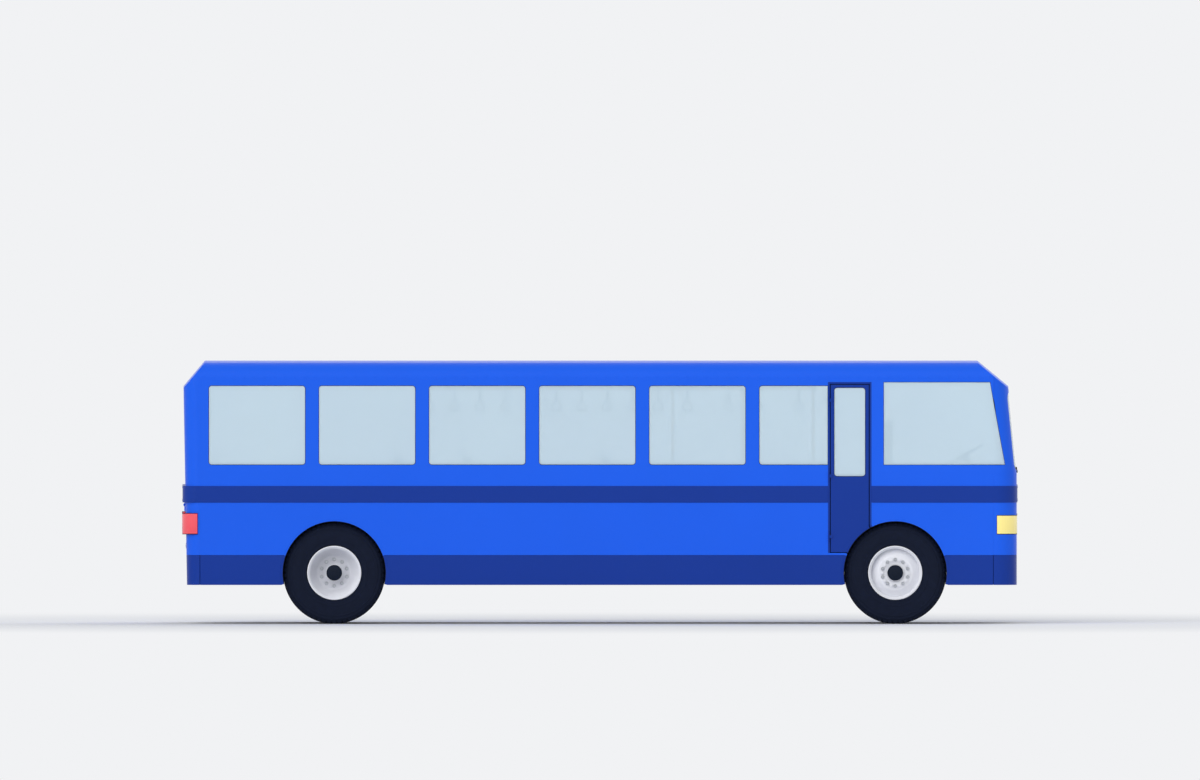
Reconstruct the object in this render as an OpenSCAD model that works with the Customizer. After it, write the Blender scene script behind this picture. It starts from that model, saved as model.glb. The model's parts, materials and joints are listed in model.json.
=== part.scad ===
// Airport passenger bus, all in millimetres.
// X points forward, Y to the left, Z up. The origin is on the ground, under the middle of the bus.

/* [Body] */
// Overall length, from the nose to the tail lamps
body_l = 9185; // [9000:5:9400]
// Overall width, over the belt rails
body_w = 2500; // [2450:10:2550]
// Height of the roof above the ground
roof_z = 2877; // [2850:1:2950]
// Height of the lower edge of the skirts and bumpers
skirt_z = 429; // [400:1:450]
// Height of the seam between skirt and wall
skirt_top_z = 759; // [740:1:775]
// Thickness of walls, roof and doors
wall = 50; // [40:1:60]
// Depth of the seam between wall and roof below the roof's top
roof_seam_drop = 177; // [160:1:200]
// Radius of the cant rail, where the roof turns down
cant_r = 170; // [150:5:180]
// Gap between a body panel and the part that opens in it
panel_gap = 10; // [10:1:14]

/* [Nose and tail] */
// Height at which the windscreen starts to lean back
knee_z = 1639; // [1600:1:1680]
// Depth of the creases above windscreen and rear window below the roof's top
brow_drop = 281; // [250:1:300]
// Lean of the windscreen between knee and brow, along the bus
screen_lean = 94; // [60:1:120]
// Length of the roof's slope at the nose
brow_l = 341; // [300:1:380]
// Length of the roof's slope at the tail
tail_slope_l = 236; // [200:1:280]
// Distance that the rear wall's foot stands further in than its top
tail_tuck = 38; // [20:1:50]
// Distance that belt rail and tail lamps stand behind the rear wall's top
tail_proud = 11; // [8:1:16]
// Corner radius of the nose, seen from above
nose_r = 220; // [190:5:240]
// Corner radius of the tail, seen from above
tail_r = 150; // [120:5:180]
// Length of the nose, behind which the side walls start
nose_l = 255; // [250:1:280]
// Length of the tail, ahead of which the side walls start
tail_len = 190; // [190:1:215]

/* [Belt rail] */
// Height of the lower edge of the belt rail
belt_z = 1336; // [1320:1:1350]
// Width of the belt rail
belt_h = 182; // [150:1:200]
// Distance that the belt rail stands proud of the walls
belt_proud = 8; // [6:1:12]

/* [Windows] */
// Distance from the rear of the overall length to the first window
window_start = 286; // [270:1:300]
// Width of a side window
window_w = 1067; // [1000:1:1100]
// Distance from one side window to the next
window_pitch = 1211; // [1205:1:1215]
// Height of the lower edge of the side windows
window_z = 1749; // [1700:1:1780]
// Height of the wall between the side windows and the roof's seam
window_header = 76; // [60:1:120]
// Corner radius of the windows
window_r = 36; // [20:1:60]
// Thickness of the glass
glass_t = 12; // [8:1:16]
// Depth of the glass behind the outer skin
glass_set = 6; // [4:1:10]
// Width of the pillar between door and cab window
cab_pillar = 132; // [110:1:150]
// Width of the corner post between cab window and nose
corner_post = 116; // [105:1:125]
// Lean of the cab window's front edge, along the bus
cab_edge_lean = 165; // [120:1:180]
// Width of the corner post beside the windscreen, seen from the front
screen_post = 130; // [110:1:150]

/* [Doors] */
// Distance from the nose to the front edge of the doorway
door_set = 1598; // [1590:1:1610]
// Width of the doorway
door_w = 479; // [460:1:500]
// Height of the doorway's sill above the ground
door_z = 781; // [780:1:790]
// Height of the wall between the doorway and the roof's seam
door_header = 38; // [30:1:60]
// Thickness of the doorway's jambs
jamb = 20; // [15:1:25]
// Width of jamb and door frame together, beside the door's glass
door_frame = 66; // [60:1:75]
// Height of the lower edge of the door's glass
door_glass_z = 1622; // [1600:1:1700]
// Radius of the hinge pins
hinge_pin_r = 5; // [4:0.5:6]
// Running clearance of the hinge pins
hinge_fit = 0.1; // [0.05:0.05:0.2]

/* [Wheels] */
// Distance from the nose to the front axle
front_overhang = 1337; // [1325:1:1350]
// Distance from the tail lamps to the rear axle
rear_overhang = 1669; // [1650:1:1690]
// Outer radius of the tyres
tyre_r = 562; // [550:1:570]
// Width of a tyre
tyre_w = 300; // [280:1:305]
// Radius of the rim's flange
rim_r = 297; // [290:1:300]
// Distance from the outer skin of the wall to the tyre's outer side
tyre_set = 55; // [52:1:70]
// Gap between the twin tyres
twin_gap = 44; // [40:1:60]
// Gap between tyre and wheel arch
arch_gap = 30; // [26:1:36]
// Radius of the hub's cap
hub_cap_r = 93; // [85:1:100]
// Number of wheel nuts
nut_count = 10; // [8:1:10]
// Radius of the circle on which the wheel nuts stand
nut_circle_r = 145; // [140:1:155]

/* [Steering] */
// Distance from the wheel's middle plane to the kingpin
kingpin_set = 130; // [120:1:140]
// Greatest steering angle to each side
steer_lock = 35; // [25:1:35]
// Radius of the kingpins
kingpin_r = 24; // [20:1:28]
// Length of the steering arms
steer_arm_l = 160; // [140:1:170]
// Depth of the tie rod below the wheel's middle
tie_drop = 140; // [130:1:145]

/* [Chassis] */
// Thickness of the floor
floor_t = 40; // [30:1:50]
// Height of the frame rails between the axles
rail_h = 180; // [150:1:200]
// Width of a frame rail
rail_w = 70; // [60:1:80]
// Gap between a rear tyre and the leaf spring beside it
spring_gap = 25; // [15:1:35]
// Thickness of the wheel housings
housing_t = 8; // [6:1:12]
// Width of a leaf spring
spring_w = 60; // [50:1:64]
// Thickness of one leaf
leaf_t = 14; // [10:1:16]
// Length of the engine
engine_l = 820; // [700:10:830]
// Gap between the engine and each frame rail
engine_gap = 10; // [6:1:40]
// Height of the engine
engine_h = 560; // [500:10:580]

/* [Saloon] */
// Distance between seat rows
seat_pitch = 760; // [720:10:800]
// Width of one seat
seat_w = 430; // [410:5:440]
// Height of the seat cushions above the floor
seat_z = 440; // [420:5:460]
// Radius of the handrails
rail_r = 17; // [15:0.5:20]
// Radius of the steering wheel
wheel_rim_r = 230; // [210:5:250]

/* [Hidden] */
$fn = 64;

// Far past the body, for cuts that go right through
far = 12000;
// Overlap of a cut with the face that it starts from
eps = 1;
// How far the hollow inside the shell runs on below the skirts
under_cut = 600;

// The body's half width without the belt rails, and its ends
half_w = body_w / 2 - belt_proud;
nose_x = body_l / 2 - belt_proud;
brow_z = roof_z - brow_drop;
roof_seam_z = roof_z - roof_seam_drop;
brow_x = nose_x - screen_lean;
rear_x = -body_l / 2;
tail_x = rear_x + tail_proud;
tail_lean = atan(tail_tuck / (brow_z - skirt_z));
nose_lean = atan(screen_lean / (brow_z - knee_z));

// Where the side walls start and end
wall_x0 = rear_x + tail_len;
wall_x1 = nose_x - nose_l;

// Axles, wheels and kingpins
front_x = nose_x - front_overhang;
axle_x = rear_x + rear_overhang;
front_wheel_y = half_w - tyre_set - tyre_w / 2;
rear_outer_y = front_wheel_y;
rear_inner_y = rear_outer_y - tyre_w - twin_gap;
kingpin_y = front_wheel_y - kingpin_set;
arch_r = tyre_r + arch_gap;

// Doorway and its hinge line
door_x1 = nose_x - door_set;
door_x0 = door_x1 - door_w;
door_top_z = roof_seam_z - door_header;
door_h = door_top_z - door_z;

// The rear wall's outer face at a height
function rear_face(z) = tail_x + tail_tuck * (brow_z - z) / (brow_z - skirt_z);
// The nose's outer face at a height between knee and brow
function nose_face(z) = nose_x - screen_lean * max(0, z - knee_z) / (brow_z - knee_z);

function unit(v) = v / norm(v);
function inward(a, b) = let (e = unit(b - a)) [-e[1], e[0]];
// A corner of a convex outline, after both its edges have moved inward by d
function inset_corner(a, p, b, d) =
    let (m = inward(a, p), n = inward(p, b)) p + d * (m + n) / (1 + m * n);
// A convex outline, listed anticlockwise, with every edge moved inward by d
function inset(pts, d) =
    let (n = len(pts))
    [for (i = [0:n - 1]) inset_corner(pts[(i + n - 1) % n], pts[i], pts[(i + 1) % n], d)];

// The bus from the side: foot of the rear wall, then round by the nose and the roof
function side_outline(low) = [
    [rear_face(low), low], [nose_x, low], [nose_x, knee_z], [brow_x, brow_z],
    [brow_x - brow_l, roof_z], [tail_x + tail_slope_l, roof_z], [tail_x, brow_z]];

module along_y(w) rotate([90, 0, 0]) linear_extrude(w, center = true) children();
module along_x(l) rotate([90, 0, 90]) linear_extrude(l, center = true) children();

// A rectangle with rounded corners, by its lowest and highest corner
module round_rect(x0, y0, x1, y1, r) {
    translate([x0 + r, y0]) square([x1 - x0 - 2 * r, y1 - y0]);
    translate([x0, y0 + r]) square([x1 - x0, y1 - y0 - 2 * r]);
    for (x = [x0 + r, x1 - r], y = [y0 + r, y1 - r]) translate([x, y]) circle(r);
}

// A box by its lowest and highest corner
module block(a, b) translate(a) cube(b - a);

// The nose seen from above: a half plane behind x = 0, with both corners rounded
module nose_plan(d) round_rect(-far, -half_w + d, -d, half_w - d, nose_r - d);

// The body's outer form, moved inward by d, down to the height low.
// Above the knee the nose's corners lean back with the windscreen, and below it they are upright.
// The plan stands a hair outside the flat walls, so that no two faces of the cuts fall together.
hair = 0.02;
module hull_form(d, low, upright = false) {
    intersection() {
        along_y(2 * body_w) polygon(inset(side_outline(low), d));
        along_x(2 * body_l) round_rect(-half_w + d, low - far, half_w - d, roof_z - d, cant_r - d);
        if (upright)
            translate([nose_x, 0, 0]) linear_extrude(far, center = true) nose_plan(d - hair);
        else
            translate([nose_x, 0, knee_z]) rotate([0, -nose_lean, 0])
                linear_extrude(far, center = true) nose_plan(d - hair);
        translate([tail_x, 0, brow_z]) rotate([0, -tail_lean, 0])
            linear_extrude(far, center = true) tail_plan(d - hair);
    }
}

// The body's wall over a range of depths below the outer skin, cut to a box
module skin(from, to, a, b, upright = false) {
    difference() {
        intersection() {
            hull_form(from, skirt_z, upright);
            block(a, b);
        }
        hull_form(to, skirt_z - under_cut, upright);
    }
}

// A layer of the nose between two depths, cut to a range of heights. It leans above the knee.
module nose_layer(from, to, z0, z1, lean) intersection() {
    translate([nose_x, 0, knee_z]) rotate([0, lean ? -nose_lean : 0, 0])
        linear_extrude(far, center = true) difference() {
            nose_plan(from);
            nose_plan(to);
        }
    block([wall_x1, -body_w, z0], [far, body_w, z1]);
}

// The same for the tail, whose rear wall leans all the way
module tail_plan(d) round_rect(d, -half_w + d, far, half_w - d, tail_r - d);
module tail_layer(from, to, z0, z1) intersection() {
    translate([tail_x, 0, brow_z]) rotate([0, -tail_lean, 0])
        linear_extrude(far, center = true) difference() {
            tail_plan(from);
            tail_plan(to);
        }
    block([-far, -body_w, z0], [wall_x0, body_w, z1]);
}

// An outline followed by its mirror image, as one closed outline
function doubled(pts) = concat(pts, [for (i = [len(pts) - 1:-1:0]) [pts[i][0], -pts[i][1]]]);

// A strip round the outside of the body, standing proud of its walls, cut to a box
band_fit = 0.05;
module band(proud, a, b) {
    difference() {
        intersection() {
            linear_extrude(far) round_rect(rear_x, -half_w - proud, nose_x + proud, half_w + proud,
                tail_r + proud);
            translate([nose_x, 0, 0]) linear_extrude(far) nose_plan(-proud);
            block(a, b);
        }
        hull_form(-band_fit, skirt_z, true);
    }
}

// The right side is modelled, and the left side is its mirror image
module mirrored(left) if (left) mirror([0, 1, 0]) children(); else children();

body_blue = "#2563EA";
trim_blue = "#184098";
glass_blue = "#CFE6F6";
tyre_black = "#11182A";
rim_grey = "#E6E7EC";
steel_grey = "#50565E";

// Full side windows, and the shorter one that ends at the door: rear edge and front edge
window_top_z = roof_seam_z - window_header;
short_window_min = 200;
window_count = floor((door_x0 - rear_x - window_start - short_window_min) / window_pitch);
side_windows = concat(
    [for (i = [0:window_count - 1]) let (x = rear_x + window_start + i * window_pitch) [x, x + window_w]],
    [[rear_x + window_start + window_count * window_pitch, door_x0]]);
window_x0 = 0;
window_x1 = 1;

// The cab's side window, whose front edge follows the nose
cab_x0 = door_x1 + cab_pillar;
cab_foot_x = nose_face(window_z) - corner_post;
cab_brow_x = cab_foot_x - cab_edge_lean;

// The windscreen, in front view
screen_half_w = half_w - screen_post;
screen_z0 = knee_z + 55;
screen_z1 = brow_z - 55;

// The rear window, in rear view
rear_window_half_w = half_w - 240;
rear_window_z0 = window_z;
rear_window_z1 = brow_z - 60;

// The engine lid, in rear view
lid_half_w = 800;
lid_z0 = skirt_top_z + 60;
lid_z1 = belt_z - 40;
lid_pin_r = 8;
lid_pin_x = rear_face(lid_z1) - 12;
lid_pin_z = lid_z1 + panel_gap / 2;

// The door leaf and its jambs
leaf_x0 = door_x0 + jamb + panel_gap;
leaf_x1 = door_x1 - jamb - panel_gap;
leaf_z0 = door_z + panel_gap;
leaf_z1 = door_top_z - jamb - panel_gap;
pane_x0 = door_x0 + door_frame;
pane_x1 = door_x1 - door_frame;
pane_z1 = door_top_z - door_frame + 6;
barrel_r = hinge_pin_r + 4;
hinge_axis_x = leaf_x0 - 2 * panel_gap;
hinge_axis_y = half_w + barrel_r + 1;
// Middle heights of the three door hinges
hinge_heights = [door_z + 180, belt_z + belt_h + 110, door_top_z - 200];
knuckle_h = 34;

// Lamps
headlamp_z0 = 990;
headlamp_z1 = headlamp_z0 + 203;
headlamp_x0 = nose_x - 218;
headlamp_y0 = half_w - 390;
tail_lamp_z0 = 990;
tail_lamp_z1 = tail_lamp_z0 + 225;
tail_lamp_x1 = rear_x + 165;
tail_lamp_y0 = half_w - 240;
lamp_depth = 45;

module arch_cuts(r) for (x = [front_x, axle_x])
    translate([x, 0, tyre_r]) rotate([90, 0, 0]) cylinder(h = 2 * body_w, r = r, center = true, $fn = 128);

// Outline of one side window, drawn in x and z
module window_outline(w) {
    round_rect(w[window_x0], window_z, w[window_x1], window_top_z, window_r);
    // The window beside the door ends square against the jamb
    if (w[window_x1] == door_x0)
        translate([w[window_x1] - 2 * window_r, window_z]) square([2 * window_r, window_top_z - window_z]);
}

module cab_outline()
    polygon([[cab_x0, window_z], [cab_foot_x, window_z], [cab_brow_x, door_top_z], [cab_x0, door_top_z]]);

module doorway_outline() translate([door_x0, door_z]) square([door_w, door_h]);

// Cuts an outline drawn in x and z through the right wall
module right_cut(depth) translate([0, -half_w + depth / 2, 0]) along_y(depth + 2 * eps) children();

module side_wall(left) color(body_blue) mirrored(left) difference() {
    block([wall_x0, -half_w, skirt_top_z], [wall_x1, -half_w + wall, roof_seam_z]);
    arch_cuts(arch_r);
    right_cut(wall) {
        for (w = side_windows) window_outline(w);
        cab_outline();
        doorway_outline();
    }
}
module side_wall_right() side_wall(false);
module side_wall_left() side_wall(true);

// The roof comes down to the creases at nose and tail, and to the seam between them
module roof() color(body_blue) intersection() {
    skin(0, wall, [-far, -body_w, brow_z], [far, body_w, far]);
    along_y(2 * body_w) polygon([[-far, brow_z], [wall_x0, brow_z], [wall_x0, roof_seam_z],
        [wall_x1, roof_seam_z], [wall_x1, brow_z], [far, brow_z], [far, far], [-far, far]]);
}

module nose_panel() color(body_blue) difference() {
    nose_layer(0, wall, skirt_top_z, knee_z, false);
    headlamp_boxes();
}

// Posts, sill and header round the windscreen
module screen_frame() color(body_blue) difference() {
    nose_layer(0, wall, knee_z, brow_z, true);
    screen_cut();
    along_y(2 * body_w) cab_outline();
}
module screen_cut() translate([nose_x, 0, 0]) along_x(2 * nose_l - 2)
    round_rect(-screen_half_w, screen_z0, screen_half_w, screen_z1, 2 * window_r);

module tail_panel() color(body_blue) {
    difference() {
        tail_layer(0, wall, skirt_top_z, brow_z);
        rear_window_cut();
        translate([rear_x, 0, 0]) along_x(2 * tail_len - 2)
            translate([-lid_half_w - panel_gap, lid_z0 - panel_gap])
            square([2 * (lid_half_w + panel_gap), lid_z1 - lid_z0 + 2 * panel_gap]);
    }
    lid_hinges();
}
module rear_window_cut() translate([rear_x, 0, 0]) along_x(2 * tail_len - 2)
    round_rect(-rear_window_half_w, rear_window_z0, rear_window_half_w, rear_window_z1, 2 * window_r);

module windscreen() color(glass_blue) intersection() {
    nose_layer(glass_set, glass_set + glass_t, knee_z, brow_z, true);
    screen_cut();
}

module rear_window() color(glass_blue) intersection() {
    tail_layer(glass_set, glass_set + glass_t, skirt_top_z, brow_z);
    rear_window_cut();
}

module side_glass() color(glass_blue) for (left = [false, true]) mirrored(left) {
    translate([0, -half_w + glass_set + glass_t / 2, 0]) along_y(glass_t) {
        for (w = side_windows) window_outline(w);
        intersection() {
            cab_outline();
            translate([cab_x0, window_z]) square([wall_x1 - cab_x0, door_top_z - window_z]);
        }
    }
    intersection() {
        nose_layer(glass_set, glass_set + glass_t, knee_z, brow_z, true);
        translate([0, -body_w, 0]) along_y(2 * body_w - 2) cab_outline();
    }
}

// Side skirts, and the bumpers that wrap the corners at the same height
seam = 4;
module skirts() color(trim_blue) for (left = [false, true]) mirrored(left) difference() {
    block([wall_x0 + seam, -half_w, skirt_z], [wall_x1 - seam, -half_w + wall, skirt_top_z]);
    arch_cuts(arch_r);
}

module bumpers() color(trim_blue) {
    nose_layer(0, wall, skirt_z, skirt_top_z, false);
    tail_layer(0, wall, skirt_z, skirt_top_z);
}

// The belt rail runs right round the body and stops at the doorways
module belt_rail() color(trim_blue) difference() {
    band(belt_proud, [-far, -body_w, belt_z], [far, body_w, belt_z + belt_h]);
    translate([door_x0, -body_w, belt_z - eps]) cube([door_w, 2 * body_w, belt_h + 2 * eps]);
}

module headlamp_boxes() for (side = [-1, 1])
    block([headlamp_x0, side > 0 ? headlamp_y0 : -body_w, headlamp_z0],
        [far, side > 0 ? body_w : -headlamp_y0, headlamp_z1]);

module headlamps() color("#FBE788") intersection() {
    nose_layer(0, lamp_depth, skirt_top_z, knee_z, false);
    headlamp_boxes();
}

module tail_lamps() color("#EE4252") for (side = [-1, 1])
    band(6, [-far, side > 0 ? tail_lamp_y0 : -body_w, tail_lamp_z0],
        [tail_lamp_x1, side > 0 ? body_w : -tail_lamp_y0, tail_lamp_z1]);

// Jambs round both doorways, with the fixed halves of the hinges and their pins
module door_hinges() color(trim_blue) for (left = [false, true]) mirrored(left) {
    difference() {
        right_cut_solid(wall) doorway_outline();
        right_cut(wall) translate([door_x0 + jamb, 0]) square([door_w - 2 * jamb, door_top_z - jamb]);
        arch_cuts(arch_r);
    }
    for (z = hinge_heights) {
        translate([hinge_axis_x, -hinge_axis_y, z])
            cylinder(h = 3 * knuckle_h, r = hinge_pin_r, center = true);
        // The outer knuckles, over and under the door's own
        for (s = [-1, 1]) {
            mid_z = z + s * (knuckle_h + 1);
            half_h = knuckle_h / 2 - 1;
            translate([hinge_axis_x, -hinge_axis_y, mid_z])
                cylinder(h = 2 * half_h, r = barrel_r, center = true);
            block([door_x0 + 1, -hinge_axis_y, mid_z - half_h], [hinge_axis_x, -half_w, mid_z + half_h]);
        }
    }
}
// A solid of an outline drawn in x and z, as thick as the right wall
module right_cut_solid(depth) translate([0, -half_w + depth / 2, 0]) along_y(depth) children();

module door(left) color(trim_blue) mirrored(left) difference() {
    union() {
        difference() {
            block([leaf_x0, -half_w, leaf_z0], [leaf_x1, -half_w + wall, leaf_z1]);
            right_cut(wall) round_rect(pane_x0, door_glass_z, pane_x1, pane_z1, window_r);
            arch_cuts(arch_r);
        }
        for (z = hinge_heights) {
            translate([hinge_axis_x, -hinge_axis_y, z]) cylinder(h = knuckle_h, r = barrel_r, center = true);
            block([hinge_axis_x, -hinge_axis_y - 3, z - knuckle_h / 2],
                [leaf_x0 + 18, -half_w, z + knuckle_h / 2]);
        }
    }
    for (z = hinge_heights) translate([hinge_axis_x, -hinge_axis_y, z])
        cylinder(h = 2 * knuckle_h, r = hinge_pin_r + hinge_fit, center = true);
}
module door_right() door(false);
module door_left() door(true);

module door_glass(left) color(glass_blue) mirrored(left)
    translate([0, -half_w + glass_set + glass_t / 2, 0]) along_y(glass_t)
        round_rect(pane_x0, door_glass_z, pane_x1, pane_z1, window_r);
module door_glass_right() door_glass(false);
module door_glass_left() door_glass(true);

// The engine lid hangs from two hinges above it
lid_hinge_y = [-520, 520];
lid_barrel_r = lid_pin_r + 4;
louvre_count = 9;
louvre_pitch = 42;
louvre_h = 16;
louvre_w = 620;

module lid_axis(y, h, r) translate([lid_pin_x, y, lid_pin_z]) rotate([90, 0, 0])
    cylinder(h = h, r = r, center = true);

module engine_lid() color(body_blue) difference() {
    union() {
        difference() {
            skin(0, wall, [-far, -lid_half_w, lid_z0], [wall_x0, lid_half_w, lid_z1]);
            for (i = [0:louvre_count - 1], side = [-1, 1])
                translate([rear_x, side * (louvre_w + 60) / 2, lid_z0 + 60 + i * louvre_pitch])
                    cube([4 * wall + tail_tuck, louvre_w, louvre_h], center = true);
        }
        for (y = lid_hinge_y) {
            lid_axis(y, knuckle_h, lid_barrel_r);
            block([lid_pin_x - 2, y - knuckle_h / 2, lid_z1 - 60],
                [rear_face(lid_z1) + 6, y + knuckle_h / 2, lid_pin_z]);
        }
    }
    for (y = lid_hinge_y) lid_axis(y, 2 * knuckle_h, lid_pin_r + hinge_fit);
}

// Fixed halves of the lid's hinges, with their pins, on the tail panel
module lid_hinges() for (y = lid_hinge_y) {
    lid_axis(y, 3 * knuckle_h, lid_pin_r);
    for (s = [-1, 1]) {
        mid_y = y + s * (knuckle_h + 1);
        half_h = knuckle_h / 2 - 1;
        lid_axis(mid_y, 2 * half_h, lid_barrel_r);
        block([lid_pin_x - 2, mid_y - half_h, lid_pin_z],
            [rear_face(lid_z1) + 6, mid_y + half_h, lid_z1 + 2 * panel_gap + 15]);
    }
}

engine_z0 = skirt_z + 60;

// Floor and wheel housings
floor_z0 = door_z - floor_t;
floor_x0 = rear_face(floor_z0) + wall + 1;
floor_half_w = half_w - wall;
// Reach of a front tyre at full lock, along the bus and towards its middle
swing_l = tyre_r * cos(steer_lock) + (kingpin_set + tyre_w / 2) * sin(steer_lock);
swing_y = kingpin_y - (tyre_w / 2 - kingpin_set) * cos(steer_lock) - tyre_r * sin(steer_lock);
front_house_l = ceil(swing_l) + 39;
front_house_y = floor(swing_y) - 2 * housing_t;
front_house_z = 2 * tyre_r + 50;
rear_house_l = tyre_r + 50;
rear_house_y = rear_inner_y - tyre_w / 2 - 33;
rear_house_z = 2 * tyre_r + 60;
house_gap = 12;

deck_x1 = axle_x - rear_house_l - 4;
deck_z1 = engine_z0 + engine_h + 60;
module floor_deck() color("#6B7078") difference() {
    union() {
        translate([0, 0, floor_z0]) linear_extrude(floor_t) floor_plan(deck_x1);
        translate([0, 0, deck_z1 - floor_t]) linear_extrude(floor_t) intersection() {
            floor_plan(floor_x0);
            translate([-far, -body_w]) square([far + deck_x1, 2 * body_w]);
        }
        block([deck_x1 - floor_t, -floor_half_w, floor_z0], [deck_x1, floor_half_w, deck_z1]);
    }
    for (s = [-1, 1]) {
        translate([front_x, s * (front_house_y + body_w / 2), 0])
            cube([2 * front_house_l, body_w, far], center = true);
        translate([axle_x, s * (rear_house_y + body_w / 2), 0])
            cube([2 * rear_house_l, body_w, far], center = true);
    }
}
// The floor's plan ahead of x0, with the nose's inner corners
module floor_plan(x0) intersection() {
    translate([x0, -floor_half_w]) square([nose_x - wall - x0, 2 * floor_half_w]);
    translate([nose_x, 0]) nose_plan(wall);
    translate([floor_x0 - wall, 0]) tail_plan(wall);
}

// A wheel housing: a round-topped tunnel, open below and outward
module housing(x, l, y, top) {
    r = 260;
    out = floor_half_w - house_gap;
    for (s = [-1, 1]) difference() {
        translate([0, s * (y + out) / 2, 0]) along_y(out - y) house_outline(x, l, top, r);
        translate([0, s * (y + housing_t + far / 2), 0]) along_y(far)
            house_outline(x, l - housing_t, top - housing_t, r - housing_t);
    }
}
module house_outline(x, l, top, r) intersection() {
    round_rect(x - l, -far, x + l, top, r);
    translate([x - l, floor_z0]) square([2 * l, far]);
}
module wheel_housings() color("#6B7078") {
    housing(front_x, front_house_l, front_house_y, front_house_z);
    housing(axle_x, rear_house_l, rear_house_y, rear_house_z);
}

// Frame rails, which arch up over both axles. A leaf spring has room between a rail and the rear tyres.
hanger_t = 8;
rail_y = rear_inner_y - tyre_w / 2 - spring_gap - spring_w - hanger_t - rail_w / 2;
rail_top_z = floor_z0;
rail_set = 420;
rail_low_z = floor_z0 - rail_h;
rail_arch_z = floor_z0 - 74;
rail_x0 = rear_x + rail_set;
rail_x1 = nose_x - rail_set;
arch_l = 330;
arch_ramp = 180;

module rail_outline() polygon([
    [rail_x0, rail_low_z], [axle_x - arch_l - arch_ramp, rail_low_z], [axle_x - arch_l, rail_arch_z],
    [axle_x + arch_l, rail_arch_z], [axle_x + arch_l + arch_ramp, rail_low_z],
    [front_x - arch_l - arch_ramp, rail_low_z], [front_x - arch_l, rail_arch_z],
    [front_x + arch_l, rail_arch_z], [front_x + arch_l + arch_ramp, rail_low_z],
    [rail_x1, rail_low_z], [rail_x1, rail_top_z], [rail_x0, rail_top_z]]);

// Cross members by their places along the bus: evenly between the arches, and one at the front
cross_x0 = axle_x + 900;
cross_x1 = front_x - 1400;
cross_count = 5;
cross_pitch = (cross_x1 - cross_x0) / (cross_count - 1);
cross_xs = concat([for (i = [0:cross_count - 1]) cross_x0 + i * cross_pitch], [rail_x1 - 60]);
cross_w = 80;
cross_z0 = rail_low_z + 40;
outrigger_h = 60;

module chassis_frame() color(steel_grey)
    for (s = [-1, 1]) translate([0, s * rail_y, 0]) along_y(rail_w) rail_outline();

// Cross members between the rails, and outriggers from the rails out to the side walls
module cross_members() color(steel_grey) for (x = cross_xs) {
    rail_in = rail_y - rail_w / 2;
    rail_out = rail_y + rail_w / 2;
    block([x - cross_w / 2, -rail_in, cross_z0], [x + cross_w / 2, rail_in, rail_top_z - 20]);
    for (left = [false, true]) mirrored(left)
        block([x - cross_w / 2, -floor_half_w, rail_top_z - outrigger_h],
            [x + cross_w / 2, -rail_out, rail_top_z]);
}

// Towing brackets with upright bores, behind the front bumper and under the engine
tow_bore_r = 20;
tow_half_w = 50;
tow_t = 40;
tow_z0 = skirt_z + 12;
tow_front_x = nose_x - 150;
tow_rear_x = rear_x + 150;
rear_beam_x = rail_x0 + 60;
module tow_brackets() color(steel_grey) {
    // In front, a bent plate under the first cross member
    x = rail_x1 - 60;
    difference() {
        along_y(2 * tow_half_w) polygon([[x - 40, cross_z0], [x - 40, tow_z0],
            [tow_front_x + 50, tow_z0], [tow_front_x + 50, tow_z0 + tow_t],
            [x + 120, tow_z0 + tow_t], [x + 40, cross_z0]]);
        tow_bore(tow_front_x);
    }
    // At the rear, a beam that hangs from both rails
    difference() {
        union() {
            for (left = [false, true]) mirrored(left)
                block([rear_beam_x - 40, -rail_y - rail_w / 2, tow_z0],
                    [rear_beam_x + 40, -rail_y + rail_w / 2, rail_low_z]);
            block([rear_beam_x - 40, -rail_y - rail_w / 2, tow_z0],
                [rear_beam_x + 40, rail_y + rail_w / 2, tow_z0 + tow_t]);
            block([tow_rear_x - 50, -tow_half_w, tow_z0], [rear_beam_x, tow_half_w, tow_z0 + tow_t]);
        }
        tow_bore(tow_rear_x);
    }
}
module tow_bore(x) translate([x, 0, tow_z0]) cylinder(h = 4 * tow_t, r = tow_bore_r, center = true);

// Power train and what hangs under the floor
engine_x0 = rear_x + 160;
engine_w = 2 * (rail_y - rail_w / 2 - engine_gap);
module engine() color("#3A3E45")
    block([engine_x0, -engine_w / 2, engine_z0], [engine_x0 + engine_l, engine_w / 2, engine_z0 + engine_h]);

// Axles: the wheel's middle height is the tyre's radius
beam_w = 90;
beam_h = 80;
beam_drop = 80;
beam_z0 = tyre_r - beam_drop - beam_h / 2;
beam_z1 = beam_z0 + beam_h;
end_half_h = 40;
module front_axle() color(steel_grey) {
    difference() {
        union() {
            block([front_x - beam_w / 2, -kingpin_y + 130, beam_z0],
                [front_x + beam_w / 2, kingpin_y - 130, beam_z1]);
            for (s = [-1, 1]) {
                translate([front_x, s * kingpin_y, tyre_r]) cylinder(h = boss_h, r = 48, center = true);
                // The beam's end bends up to the kingpin's boss
                translate([0, s * (kingpin_y - 85), 0]) mirror([0, s < 0 ? 1 : 0, 0]) rotate([90, 0, 90])
                    translate([0, 0, front_x]) linear_extrude(beam_w - 10, center = true)
                    polygon([[-60, beam_z0], [-50, beam_z0], [22, tyre_r - end_half_h],
                        [85, tyre_r - end_half_h], [85, tyre_r + end_half_h], [40, tyre_r + end_half_h],
                        [-60, beam_z1]]);
            }
        }
        for (s = [-1, 1]) translate([front_x, s * kingpin_y, tyre_r])
            cylinder(h = 4 * boss_h, r = kingpin_r + 0.1, center = true);
    }
}

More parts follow.
